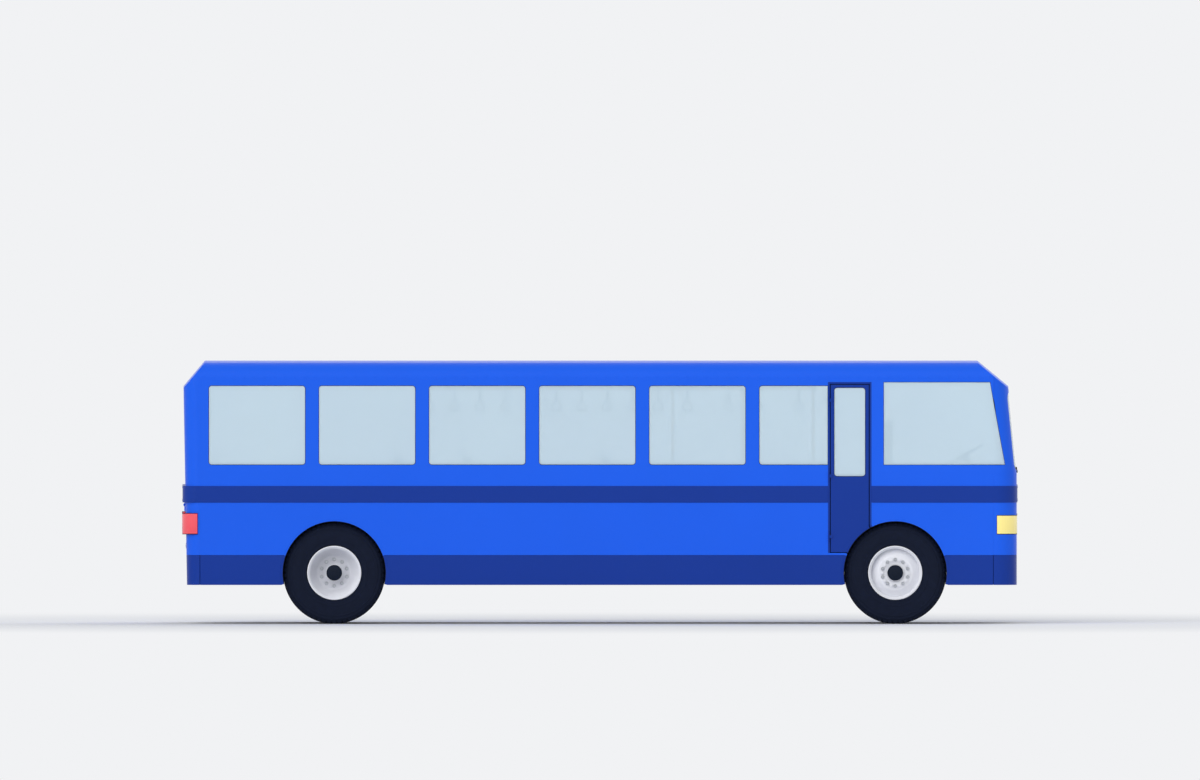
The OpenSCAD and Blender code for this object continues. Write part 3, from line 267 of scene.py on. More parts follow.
def vinyl_floor():
    """Safety vinyl: grey sheet with coloured chips about 6 mm wide and a grit that catches the light."""
    return coated("safety_vinyl", (linear("#565C66"), linear("#8A919C")), ("Voronoi", 0.006, {}, "Color"),
                  (0.0004, ("Voronoi", 0.006)), Roughness=0.7)


def laminate(name, code):
    """Melamine-faced lining board: pale, half matt, with a fine pebble."""
    return coated(name, shades(linear(code), 0.03), ("Noise", 0.3), (0.00015, ("Noise", 0.005, {"Detail": 1.0})),
                  Roughness=0.48)


def grained_plastic(name, code, rough=0.5):
    """ABS moulded in an etched tool: a leather-like grain about 2 mm wide, drawn twice as coarse to show."""
    return coated(name, shades(linear(code), 0.1), ("Noise", 0.04), (0.00025, ("Voronoi", 0.004)), Roughness=rough)


def seat_vinyl():
    """Coated seat cloth of the driver's place: black, soft sheen, with a pebbled grain."""
    return coated("coated_cloth", shades(linear("#23272E"), 0.12), ("Noise", 0.02),
                  (0.0004, ("Noise", 0.003, {"Detail": 1.0})), Roughness=0.55, Sheen_Weight=0.1)


def powder_coat(name, colour, rough=0.3):
    """Powder coat baked on tube: thick, glossy, with a slight orange skin."""
    return coated(name, shades(colour, 0.04), ("Noise", 0.1), (0.00008, ("Noise", 0.004, {"Detail": 1.0})),
                  Roughness=rough, Coat_Weight=0.3, Coat_Roughness=0.1)


def lamp_lens(name, colour, glow):
    """Polycarbonate lens: clear gloss over its own colour, with optics moulded inside."""
    optics = ("Voronoi", 0.012, {"Randomness": 0.0})
    return coated(name, shades(colour, 0.06), optics, (0.0012, optics), Roughness=0.12, IOR=1.58,
                  Coat_Weight=0.8, Coat_Roughness=0.03, Emission_Strength=glow, Emission_Color=colour)


def moquette():
    """Woven wool moquette: a ribbed cut pile in bus blue with small lighter squares in a half-drop pattern."""
    material, tree, shader = start_material(
        "moquette_cloth", Roughness=0.92, Sheen_Weight=0.35, Sheen_Roughness=0.4)
    there = add_node(tree, "ShaderNodeTexCoord").outputs["Object"]
    parts = add_node(tree, "ShaderNodeSeparateXYZ", {0: there}).outputs
    facing = add_node(tree, "ShaderNodeNewGeometry").outputs["True Normal"]
    lean = add_node(tree, "ShaderNodeSeparateXYZ", {0: facing})
    ahead = add_node(tree, "ShaderNodeMath", {0: lean}, operation="ABSOLUTE")
    upright = add_node(tree, "ShaderNodeMath", {0: ahead, 1: 0.7}, operation="GREATER_THAN")
    along = add_node(tree, "ShaderNodeMix", {0: upright, 2: parts[0], 3: parts[2]})
    # The cloth lies flat in the plane of a cushion or a back, so that the pattern never thins out
    place = add_node(tree, "ShaderNodeCombineXYZ", {0: along, 1: parts[1]})
    # Squares of the pattern, 45 mm apart, and ribs of the pile, coarser than real so that they show
    squares = {"Vector": place, "Scale": 1 / 0.045}
    checks = add_node(tree, "ShaderNodeTexChecker", {**squares, "Color1": (0, 0, 0, 1), "Color2": (1, 1, 1, 1)})
    dots = add_node(tree, "ShaderNodeTexVoronoi", {**squares, "Randomness": 0.0}, distance="CHEBYCHEV")
    spots = add_node(tree, "ShaderNodeMath", {0: dots.outputs["Distance"], 1: 0.16}, operation="LESS_THAN")
    marked = add_node(tree, "ShaderNodeMath", {0: spots, 1: checks.outputs["Fac"]},
                      operation="MULTIPLY")
    dark, light = shades(colours().seat, 0.12)
    ground = add_node(tree, "ShaderNodeMix", {0: texture(tree, "Noise", 0.01), 6: dark, 7: light},
                      data_type="RGBA")
    cloth = add_node(tree, "ShaderNodeMix", {0: marked, 6: ground.outputs[2], 7: linear("#8FB3EE")},
                     data_type="RGBA")
    pile = add_node(tree, "ShaderNodeBump", {
        "Height": texture(tree, "Noise", 0.002), "Distance": 0.0003, "Strength": 1.0})
    ribs = add_node(tree, "ShaderNodeTexWave", {"Vector": place, "Scale": 1 / 0.02, "Distortion": 1.5},
                    bands_direction="Y")
    weave = add_node(tree, "ShaderNodeBump", {
        "Height": ribs.outputs["Fac"], "Distance": 0.0005, "Strength": 1.0, "Normal": pile})
    tree.links.new(cloth.outputs[2], shader.inputs["Base Color"])
    tree.links.new(weave.outputs[0], shader.inputs["Normal"])
    return material


FINISHES = {
    "body_paint": lambda: coach_enamel("coach_enamel_body", colours().body),
    "trim_paint": lambda: coach_enamel("coach_enamel_trim", colours().trim),
    "window_glass": tinted_glass,
    "headlamp": lambda: lamp_lens("polycarbonate_cream", colours().headlamp, 0.12),
    "tail_lamp": lambda: lamp_lens("polycarbonate_red", colours().tail_lamp, 0.06),
    "black_rubber": lambda: moulded_rubber("epdm_rubber", linear("#15181E")),
    "tyre_rubber": lambda: moulded_rubber("tyre_rubber", colours().tyre, 0.006, 0.7),
    "wheel_paint": lambda: wheel_enamel("wheel_enamel", colours().rim),
    "hub_paint": lambda: wheel_enamel("hub_enamel", colours().hub, 0.12),
    "chassis_steel": lambda: chassis_coat("chassis_black", "#33383F"),
    "engine_paint": lambda: chassis_coat("cast_iron_grey", "#4A5058", 0.6),
    "machined_steel": lambda: bare_steel("aluminised_steel", "#A7ABB0", 0.42),
    "bright_steel": lambda: bare_steel("turned_steel", "#C9CCD0", 0.28),
    "floor_cover": vinyl_floor,
    "lining": lambda: laminate("melamine_lining", "#D9DEE4"),
    "seat_shell": lambda: grained_plastic("abs_grey", "#4A515C"),
    "cab_plastic": lambda: grained_plastic("abs_black", "#2A2E35", 0.55),
    "seat_fabric": moquette,
    "driver_fabric": seat_vinyl,
    "seat_vinyl": seat_vinyl,
    "handrail": lambda: powder_coat("powder_coat_yellow", colours().pole),
    "plate": lambda: powder_coat("plate_white", linear("#EEF0F2"), 0.4),
}
made_finishes = {}


def finish(name):
    """The material of a finish, made once."""
    if name not in made_finishes:
        made_finishes[name] = FINISHES[name]()
    return made_finishes[name]


# Meshes

def add_object(name, mesh):
    piece = bpy.data.objects.new(name, mesh)
    bpy.context.scene.collection.objects.link(piece)
    return piece


def mesh_of(name, points, faces, edges=()):
    mesh = bpy.data.meshes.new(name)
    mesh.from_pydata([tuple(p) for p in points], list(edges), faces)
    mesh.update()
    return mesh


def freed(work, name):
    """A new mesh of a bmesh, which is freed."""
    mesh = bpy.data.meshes.new(name)
    work.to_mesh(mesh)
    work.free()
    return mesh


def applied(scratch):
    """The plain mesh of an object with its modifiers. The object goes."""
    bpy.context.view_layer.update()
    mesh = bpy.data.meshes.new_from_object(scratch.evaluated_get(bpy.context.evaluated_depsgraph_get()))
    bpy.data.objects.remove(scratch)
    return mesh


def smooth_by_angle(mesh, degrees=35):
    mesh.polygons.foreach_set("use_smooth", [True] * len(mesh.polygons))
    mesh.set_sharp_from_angle(angle=math.radians(degrees))


def fit_out(piece, body, finish_name, replaces=()):
    """Gives a finished piece its material, body and slot, and the nodes that it stands for."""
    piece.data.materials.clear()
    piece.data.materials.append(finish(finish_name))
    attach(piece, body)
    if replaces:
        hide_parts(*replaces)
    return piece


def fit(name, meshes, body, finish_name, smooth=None, replaces=()):
    """One finished piece of many meshes, smooth up to an angle in degrees where one is given."""
    mesh = joined(meshes, name)
    if smooth:
        smooth_by_angle(mesh, smooth)
    return fit_out(add_object(name, mesh), body, finish_name, replaces)


def merged(node):
    """A bmesh of a node, with its loose triangles joined and flat areas cleared of inner edges."""
    work = bmesh.new()
    work.from_mesh(frame["nodes"][node].data)
    bmesh.ops.remove_doubles(work, verts=work.verts, dist=0.00002)
    bmesh.ops.dissolve_limit(work, angle_limit=math.radians(0.5), verts=work.verts, edges=work.edges)
    return work


def dress(node, finish_name, edge=None):
    """A copy of a node with rounded edges stands for it."""
    mesh = freed(merged(node), node)
    smooth_by_angle(mesh)
    piece = add_object(f"{node}_finished", mesh)
    if edge:
        bevel = piece.modifiers.new("Rounded edges", "BEVEL")
        bevel.width = edge
        bevel.segments = 2
        bevel.limit_method = "ANGLE"
        bevel.angle_limit = math.radians(40)
        bevel.harden_normals = False
        piece.modifiers.new("Even shading", "WEIGHTED_NORMAL").keep_sharp = True
    return fit_out(piece, frame["nodes"][node]["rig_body"], finish_name, (node,))


def repaint(node, finish_name):
    """A node whose shape is right keeps it and gets its finish."""
    for place in frame["nodes"][node].material_slots:
        place.material = finish(finish_name)


def outward(mesh):
    """Points a closed mesh's faces outward, after its doubles are merged."""
    work = bmesh.new()
    work.from_mesh(mesh)
    bmesh.ops.remove_doubles(work, verts=work.verts, dist=0.00001)
    bmesh.ops.dissolve_degenerate(work, edges=work.edges, dist=0.00001)
    bmesh.ops.recalc_face_normals(work, faces=work.faces)
    work.to_mesh(mesh)
    work.free()
    return mesh


def loft(sections, wrapped=False):
    """A closed skin over sections with as many points each, wrapped round or capped at both ends."""
    total, count = len(sections), len(sections[0])
    faces = []
    for i in range(total if wrapped else total - 1):
        here, there = i * count, (i + 1) % total * count
        faces += [(here + j, here + (j + 1) % count, there + (j + 1) % count, there + j) for j in range(count)]
    if not wrapped:
        faces += [tuple(range(count)), tuple(range((total - 1) * count, total * count))]
    return outward(mesh_of("loft", [point for section in sections for point in section], faces))


def circle(steps):
    """Angles at even steps once round."""
    return [2 * math.pi * i / steps for i in range(steps)]


def lathe(profile, centre=Vector(), side=1, segments=48):
    """Turns a closed profile of (radius, distance outward) about a wheel's axle. Side is -1 on the right."""
    return loft([[(centre.x + radius * math.sin(angle), centre.y + side * out, centre.z + radius * math.cos(angle))
                  for radius, out in profile] for angle in circle(segments)], wrapped=True)


def slab(corner, opposite, edge=0.0, segments=2):
    """A block between two corners, with rounded edges."""
    work = bmesh.new()
    bmesh.ops.create_cube(work, size=1.0)
    low, high = ([pick(pair) for pair in zip(corner, opposite)] for pick in (min, max))
    for vertex in work.verts:
        vertex.co = Vector(low[i] + (vertex.co[i] + 0.5) * (high[i] - low[i]) for i in range(3))
    if edge:
        bmesh.ops.bevel(work, geom=work.edges[:], offset=edge, segments=segments, affect="EDGES", profile=0.5)
    return freed(work, "block")


def joined(meshes, name="joined"):
    """One mesh of many."""
    work = bmesh.new()
    for mesh in meshes:
        work.from_mesh(mesh)
    return freed(work, name)


def moved(mesh, *matrices):
    """A copy of a mesh, put through matrices from the last to the first."""
    whole = Matrix.Identity(4)
    for matrix in matrices:
        whole = whole @ matrix
    copy = mesh.copy()
    copy.transform(whole)
    if whole.determinant() < 0:
        copy.flip_normals()
    return copy


def turned(degrees, axis):
    return Matrix.Rotation(math.radians(degrees), 4, axis)


def shifted(x, y, z):
    return Matrix.Translation((x, y, z))


# Geometry Nodes: repeats and sweeps

def start_tree(name, **kinds):
    """A Geometry Nodes tree with named inputs. Returns the tree, its inputs' sockets and their identifiers."""
    tree = bpy.data.node_groups.new(name, "GeometryNodeTree")
    tree.interface.new_socket("Geometry", in_out="INPUT", socket_type="NodeSocketGeometry")
    tree.interface.new_socket("Geometry", in_out="OUTPUT", socket_type="NodeSocketGeometry")
    ids = {label: tree.interface.new_socket(label, in_out="INPUT", socket_type=f"NodeSocket{kind}").identifier
           for label, kind in {**kinds, "Material": "Material"}.items()}
    return tree, add_node(tree, "NodeGroupInput").outputs, ids


def end_tree(tree, geometry, material):
    """Realizes the instances and sets their material at the tree's end."""
    real = add_node(tree, "GeometryNodeRealizeInstances", {"Geometry": geometry})
    paint = add_node(tree, "GeometryNodeSetMaterial", {"Geometry": real, "Material": material})
    add_node(tree, "NodeGroupOutput", {"Geometry": paint})


def rivet_row_tree():
    """Domed heads along a path that keeps the bus on its left, each facing away from it."""
    tree, given, ids = start_tree("Rivet row", Pitch="Float", Radius="Float", Height="Float")
    path = add_node(tree, "GeometryNodeMeshToCurve", {"Mesh": given["Geometry"]})
    spots = add_node(tree, "GeometryNodeCurveToPoints", {"Curve": path, "Length": given["Pitch"]},
                     mode="LENGTH")
    out = add_node(tree, "ShaderNodeVectorMath", {0: spots.outputs["Tangent"], 1: (0, 0, 1)},
                   operation="CROSS_PRODUCT")
    facing = add_node(tree, "FunctionNodeAlignRotationToVector", {"Vector": out}, axis="Z")
    rim = add_node(tree, "GeometryNodeMeshCone", {
        "Vertices": 10, "Side Segments": 1, "Fill Segments": 1, "Radius Bottom": given["Radius"],
        "Radius Top": 0.003, "Depth": given["Height"]})
    heads = add_node(tree, "GeometryNodeInstanceOnPoints", {
        "Points": spots.outputs["Points"], "Instance": rim.outputs["Mesh"], "Rotation": facing})
    end_tree(tree, heads, given["Material"])
    return tree, ids


def bead_tree():
    """A round bead or bar along edges."""
    tree, given, ids = start_tree("Glazing bead", Radius="Float")
    path = add_node(tree, "GeometryNodeMeshToCurve", {"Mesh": given["Geometry"]})
    section = add_node(tree, "GeometryNodeCurvePrimitiveCircle", {"Resolution": 8, "Radius": given["Radius"]},
                       mode="RADIUS")
    sweep = add_node(tree, "GeometryNodeCurveToMesh", {
        "Curve": path, "Profile Curve": section, "Fill Caps": True})
    smooth = add_node(tree, "GeometryNodeSetShadeSmooth", {"Geometry": sweep})
    end_tree(tree, smooth, given["Material"])
    return tree, ids


def ring_tree():
    """Copies of a shape turned about an axle that lies along Y."""
    tree, given, ids = start_tree("Ring about an axle", Count="Int", Centre="Vector")
    local = add_node(tree, "ShaderNodeVectorMath", {0: given["Centre"], "Scale": -1.0}, operation="SCALE")
    shape = add_node(tree, "GeometryNodeTransform", {
        "Geometry": given["Geometry"], "Translation": local})
    spots = add_node(tree, "GeometryNodePoints", {
        "Count": given["Count"], "Position": given["Centre"], "Radius": 0.01})
    index = add_node(tree, "GeometryNodeInputIndex")
    step = add_node(tree, "ShaderNodeMath", {0: 2 * math.pi, 1: given["Count"]}, operation="DIVIDE")
    angle = add_node(tree, "ShaderNodeMath", {0: index, 1: step}, operation="MULTIPLY")
    turn = add_node(tree, "ShaderNodeCombineXYZ", {"Y": angle})
    ring = add_node(tree, "GeometryNodeInstanceOnPoints", {
        "Points": spots, "Instance": shape, "Rotation": turn})
    end_tree(tree, ring, given["Material"])
    return tree, ids


def line_tree():
    """Copies of a shape in a straight row."""
    tree, given, ids = start_tree("Row of copies", Count="Int", Step="Vector")
    spots = add_node(tree, "GeometryNodeMeshLine", {"Count": given["Count"], "Offset": given["Step"]},
                     mode="OFFSET")
    row = add_node(tree, "GeometryNodeInstanceOnPoints", {
        "Points": spots, "Instance": given["Geometry"]})
    end_tree(tree, row, given["Material"])
    return tree, ids


TREES = {"rivets": rivet_row_tree, "bead": bead_tree, "ring": ring_tree, "line": line_tree}
made_trees = {}


def grown(kind, host_mesh, finish_name, **values):
    """The plain mesh that a tree makes from a host mesh."""
    if kind not in made_trees:
        made_trees[kind] = TREES[kind]()
    tree, ids = made_trees[kind]
    host = add_object("host", host_mesh)
    modifier = host.modifiers.new(tree.name, "NODES")
    modifier.node_group = tree
    modifier[ids["Material"]] = finish(finish_name)
    for label, value in values.items():
        modifier[ids[label]] = value
    return applied(host)


def paths_mesh(paths, closed=False):
    """Edges along paths of points."""
    points, edges = [], []
    for path in paths:
        first = len(points)
        points += path
        edges += [(i, i + 1) for i in range(first, len(points) - 1)]
        if closed:
            edges.append((len(points) - 1, first))
    return mesh_of("paths", points, [], edges)


def bead(paths, radius, finish_name="black_rubber", closed=False):
    """Round bars along paths of points."""
    return grown("bead", paths_mesh(paths, closed), finish_name, Radius=radius)


def islands(items, neighbours):
    """Groups of items that are joined through their neighbours, in the items' order."""
    left = dict.fromkeys(items)
    groups = []
    while left:
        group = [next(iter(left))]
        del left[group[0]]
        for item in group:
            for near in neighbours(item):
                if near in left:
                    del left[near]
                    group.append(near)
        groups.append(group)
    return groups


def outer_rims(node):
    """Closed loops of points round the outer faces of each pane in a node."""
    work = merged(node)
    bend, least_area, pane_t, spine_end = math.radians(25), 0.02, 0.06, 3.3
    panes = []
    for group in islands(work.faces, lambda face: [
            near for edge in face.edges if len(edge.link_faces) == 2 and edge.calc_face_angle(0) < bend
            for near in edge.link_faces]):
        area = sum(face.calc_area() for face in group)
        if area > least_area:
            middle = sum((f.calc_center_median() * f.calc_area() for f in group), Vector()) / area
            # How far out the face lies from the bus's middle line, seen from above
            far_out = sum(math.hypot(max(abs(f.calc_center_median().x) - spine_end, 0), f.calc_center_median().y)
                          * f.calc_area() for f in group) / area
            panes.append((far_out, middle, group))
    loops = []
    for far_out, middle, group in panes:
        if any((place - middle).length < pane_t and other > far_out for other, place, _ in panes):
            continue
        inside = set(group)
        rim = [e for f in group for e in f.edges if sum(n in inside for n in e.link_faces) == 1]
        while rim:
            first, vertex = rim.pop(0).verts
            loop = [first.co.copy()]
            while vertex is not first:
                loop.append(vertex.co.copy())
                edge = next(e for e in rim if vertex in e.verts)
                rim.remove(edge)
                vertex = edge.other_vert(vertex)
            loops.append(loop)
    work.free()
    return loops


def corner_arc(x, y, radius, start, end, steps=10):
    return [(x + radius * math.cos(a), y + radius * math.sin(a))
            for a in (math.radians(start + (end - start) * i / steps) for i in range(steps + 1))]


def end_path(out, z, from_x, x, corner, way):
    """A path round an end of the bus at a height, out metres from the skin, with its corners' middles at x.

    Way is 1 round the nose, from the right side to the left, and -1 round the tail, from the left to the right.
    """
    y, turn = way * (SKIN_Y - corner), 90 - way * 90
    plan = [(from_x, -way * (SKIN_Y + out))]
    plan += corner_arc(x, -y, corner + out, turn - 90, turn) + corner_arc(x, y, corner + out, turn, turn + 90)
    return [(px, py, z) for px, py in plan + [(from_x, way * (SKIN_Y + out))]]


# Operators

class CoachOperator:
    """What the operators of the bus share"""
    bl_options = {"REGISTER", "UNDO"}


class COACH_OT_stage(CoachOperator, bpy.types.Operator):
    """Place the camera, the pale floor and the soft lights"""
    bl_idname = "coach.stage"
    bl_label = "Stage"

    PHOTO_W, PHOTO_H = 1200, 780
    METRES_PER_PIXEL = 0.011
    # The ground line and the middle of the bus in the drawing
    GROUND_PX, MIDDLE_PX = 624, 600
    VIEW_DEGREES = 0.5
    CAMERA_WAY, CAMERA_REACH = 120.0, 400.0
    FLOOR_R = 110.0
    # Distances from the bus's middle over which the floor fades into the backdrop
    FADE_FROM, FADE_TO = 6.5, 15.5
    BACKDROP = "#F1F2F4"
    # Direction from which each soft sun shines, its strength and its spread in degrees
    SUNS = (("Key", (-0.35, -0.85, 0.50), 1.75, 60), ("Fill", (0.50, 0.80, 0.50), 1.45, 70))

    def execute(self, context):
        scene = context.scene
        self.make_camera(scene)
        self.make_floor()
        self.make_lights(scene)
        self.make_world(scene)
        scene.view_settings.view_transform = "Standard"
        return {"FINISHED"}

    def make_camera(self, scene):
        data = bpy.data.cameras.new("Side view")
        data.type = "ORTHO"
        data.ortho_scale = self.PHOTO_W * self.METRES_PER_PIXEL
        data.clip_end = self.CAMERA_REACH
        camera = add_object("Side view", data)
        aim = Vector(((self.PHOTO_W / 2 - self.MIDDLE_PX) * self.METRES_PER_PIXEL, -SKIN_Y,
                      (self.GROUND_PX - self.PHOTO_H / 2) * self.METRES_PER_PIXEL))
        tilt = math.radians(self.VIEW_DEGREES)
        camera.location = aim + Vector((0, -math.cos(tilt), math.sin(tilt))) * self.CAMERA_WAY
        camera.rotation_euler = (math.pi / 2 - tilt, 0, 0)
        scene.camera = camera

    def make_floor(self):
        rim = [(self.FLOOR_R * math.cos(a), self.FLOOR_R * math.sin(a), 0) for a in circle(96)]
        floor = add_object("studio_floor", mesh_of("floor", rim, [tuple(range(len(rim)))]))
        material, tree, shader = start_material("studio_floor", Roughness=0.9, Specular_IOR_Level=0.0)
        shader.inputs["Base Color"].default_value = linear("#EDEEF0")
        path = add_node(tree, "ShaderNodeLightPath").outputs["Is Camera Ray"]
        # Far from the bus the floor fades to the backdrop's colour
        place = add_node(tree, "ShaderNodeTexCoord").outputs["Object"]
        away = add_node(tree, "ShaderNodeVectorMath", {0: place}, operation="LENGTH").outputs["Value"]
        fade = add_node(tree, "ShaderNodeMapRange", {0: away, 1: self.FADE_FROM, 2: self.FADE_TO},
                        interpolation_type="SMOOTHSTEP")
        fade = add_node(tree, "ShaderNodeMath", {0: fade, 1: path}, operation="MULTIPLY")
        pale = add_node(tree, "ShaderNodeEmission", {"Color": linear(self.BACKDROP), "Strength": 1.0})
        ground = add_node(tree, "ShaderNodeMixShader", {0: fade, 1: shader, 2: pale})
        # Seen from below, the floor lets the camera through
        back = add_node(tree, "ShaderNodeNewGeometry").outputs["Backfacing"]
        under = add_node(tree, "ShaderNodeMath", {0: back, 1: path}, operation="MULTIPLY")
        clear = add_node(tree, "ShaderNodeBsdfTransparent")
        mixed = add_node(tree, "ShaderNodeMixShader", {0: under, 1: ground, 2: clear})
        output = next(n for n in tree.nodes if n.type == "OUTPUT_MATERIAL")
        tree.links.new(mixed.outputs[0], output.inputs["Surface"])
        floor.data.materials.append(material)

    def make_lights(self, scene):
        for name, way, strength, spread in self.SUNS:
            data = bpy.data.lights.new(name, "SUN")
            data.energy = strength
            data.angle = math.radians(spread)
            lamp = add_object(name, data)
            # Only the pale surroundings mirror in the paint, so that no sun bleaches the roof
            lamp.visible_glossy = False
            lamp.rotation_mode = "QUATERNION"
            lamp.rotation_quaternion = Vector(way).to_track_quat("Z", "Y")

    def make_world(self, scene):
        """The backdrop for what sees it straight, mirrored or through glass, and a soft light for the rest."""
        world = bpy.data.worlds.new("Pale studio")
        world.use_nodes = True
        tree = world.node_tree
        tree.nodes.clear()
        path = add_node(tree, "ShaderNodeLightPath").outputs
        seen = path["Is Camera Ray"]
        for ray in ("Is Glossy Ray", "Is Transmission Ray"):
            seen = add_node(tree, "ShaderNodeMath", {0: seen, 1: path[ray]}, operation="MAXIMUM")
        soft = add_node(tree, "ShaderNodeBackground", {"Color": linear("#F4F6FA"), "Strength": 0.46})
        pale = add_node(tree, "ShaderNodeBackground", {"Color": linear(self.BACKDROP), "Strength": 1.0})
        mixed = add_node(tree, "ShaderNodeMixShader", {0: seen, 1: soft, 2: pale})
        add_node(tree, "ShaderNodeOutputWorld", {"Surface": mixed})
        scene.world = world


class COACH_OT_shell(CoachOperator, bpy.types.Operator):
    """Paint the body panels and round their edges"""
    bl_idname = "coach.shell"
    bl_label = "Body shell"

    BODY = ("roof", "side_wall_right", "side_wall_left", "nose_panel", "screen_frame", "tail_panel", "engine_lid")
    TRIM = ("skirts", "bumpers", "belt_rail", "door_hinges", "door_right", "door_left")
    TRIM_EDGE_SHARE = 0.7

    def execute(self, context):
        for node in self.BODY:
            dress(node, "body_paint", sizes().edge)
        for node in self.TRIM:
            dress(node, "trim_paint", sizes().edge * self.TRIM_EDGE_SHARE)
        return {"FINISHED"}


class COACH_OT_rivets(CoachOperator, bpy.types.Operator):
    """Set rows of rivets along the belt rail, the roof's seam and the skirts"""
    bl_idname = "coach.rivets"
    bl_label = "Rivets"

    # Distances of the rows from an edge, from a panel's end, from the doors and from the wheel arches
    EDGE_IN, END_IN, DOOR_GAP, ARCH_GAP = 0.020, 0.05, 0.03, 0.04
    # Heights of the roof seam's two rows from the wall's top
    SEAM_ROWS = (-0.016, 0.018)
    HEAD_H = 0.0025

    def execute(self, context):
        door_low, door_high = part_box("door_hinges")
        proud = BELT_HIGH.y - SKIN_Y
        nose_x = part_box("nose_panel")[1].x - NOSE_CORNER_R
        tail_x = BELT_LOW.x + proud + TAIL_CORNER_R
        belt = []
        for z in (BELT_LOW.z + self.EDGE_IN, BELT_HIGH.z - self.EDGE_IN):
            belt.append(end_path(proud, z, door_high.x + self.DOOR_GAP, nose_x, NOSE_CORNER_R, 1))
            belt.append(end_path(proud, z, door_low.x - self.DOOR_GAP, tail_x, TAIL_CORNER_R, -1))
        first, last = WALL_LOW.x + self.END_IN, WALL_HIGH.x - self.END_IN
        reach = math.sqrt(ARCH_R ** 2 - (SKIRT_HIGH.z - TYRE_R) ** 2) + self.ARCH_GAP
        seam = self.rows([(first, last)], [WALL_HIGH.z + up for up in self.SEAM_ROWS])
        skirt = self.rows([(first, AXLE_REAR.x - reach), (AXLE_REAR.x + reach, AXLE_FRONT.x - reach),
                           (AXLE_FRONT.x + reach, last)], (SKIRT_HIGH.z - self.EDGE_IN,))
        for name, paths, look in (("belt_rail_rivets", belt, "trim_paint"),
                                  ("roof_seam_rivets", seam, "body_paint"),
                                  ("skirt_rivets", skirt, "trim_paint")):
            rivets = grown("rivets", paths_mesh(paths), look, Pitch=sizes().rivet_pitch,
                           Radius=sizes().rivet_radius, Height=self.HEAD_H)
            fit(name, [rivets], "coach", look)
        return {"FINISHED"}

    def rows(self, spans, heights):
        """Straight paths on both sides of the bus, which keep it on their left."""
        return [[(x, side * SKIN_Y, z) for x in span[::-side]] for side in SIDES for span in spans for z in heights]


class COACH_OT_glass(CoachOperator, bpy.types.Operator):
    """Glaze the windows and run rubber beads round them"""
    bl_idname = "coach.glass"
    bl_label = "Glass and rubber"

    FIXED = ("windscreen", "rear_window", "side_glass")
    PANE_JOINT = 0.004

    def execute(self, context):
        for node in self.FIXED + ("door_glass_right", "door_glass_left"):
            repaint(node, "window_glass")
        self.bead("window_beads", self.FIXED, "coach")
        for side in ("right", "left"):
            self.bead(f"door_{side}_bead", (f"door_glass_{side}",), f"door_{side}")
        return {"FINISHED"}

    def bead(self, name, nodes, body):
        """A bead round each pane, but not along the joint where the cab's flat pane meets its curved one."""
        rims = []
        for loop in (loop for node in nodes for loop in outer_rims(node)):
            joint = [abs(point.x - WALL_HIGH.x) < self.PANE_JOINT for point in loop]
            # A point's neighbours on the joint: two inside a run of such points, and one at its ends
            beside = [joint[k - 1] + joint[(k + 1) % len(loop)] for k in range(len(loop))]
            ends = [k for k in range(len(loop)) if joint[k] and beside[k] == 1]
            outer = max(ends, key=lambda k: abs(loop[k].y), default=None)
            rims.append([point for k, point in enumerate(loop) if k == outer or not (joint[k] and beside[k])])
        if not rims:
            raise RuntimeError(f"{name}: no rim was found")
        fit(name, [bead(rims, sizes().bead, closed=True)], body, "black_rubber")


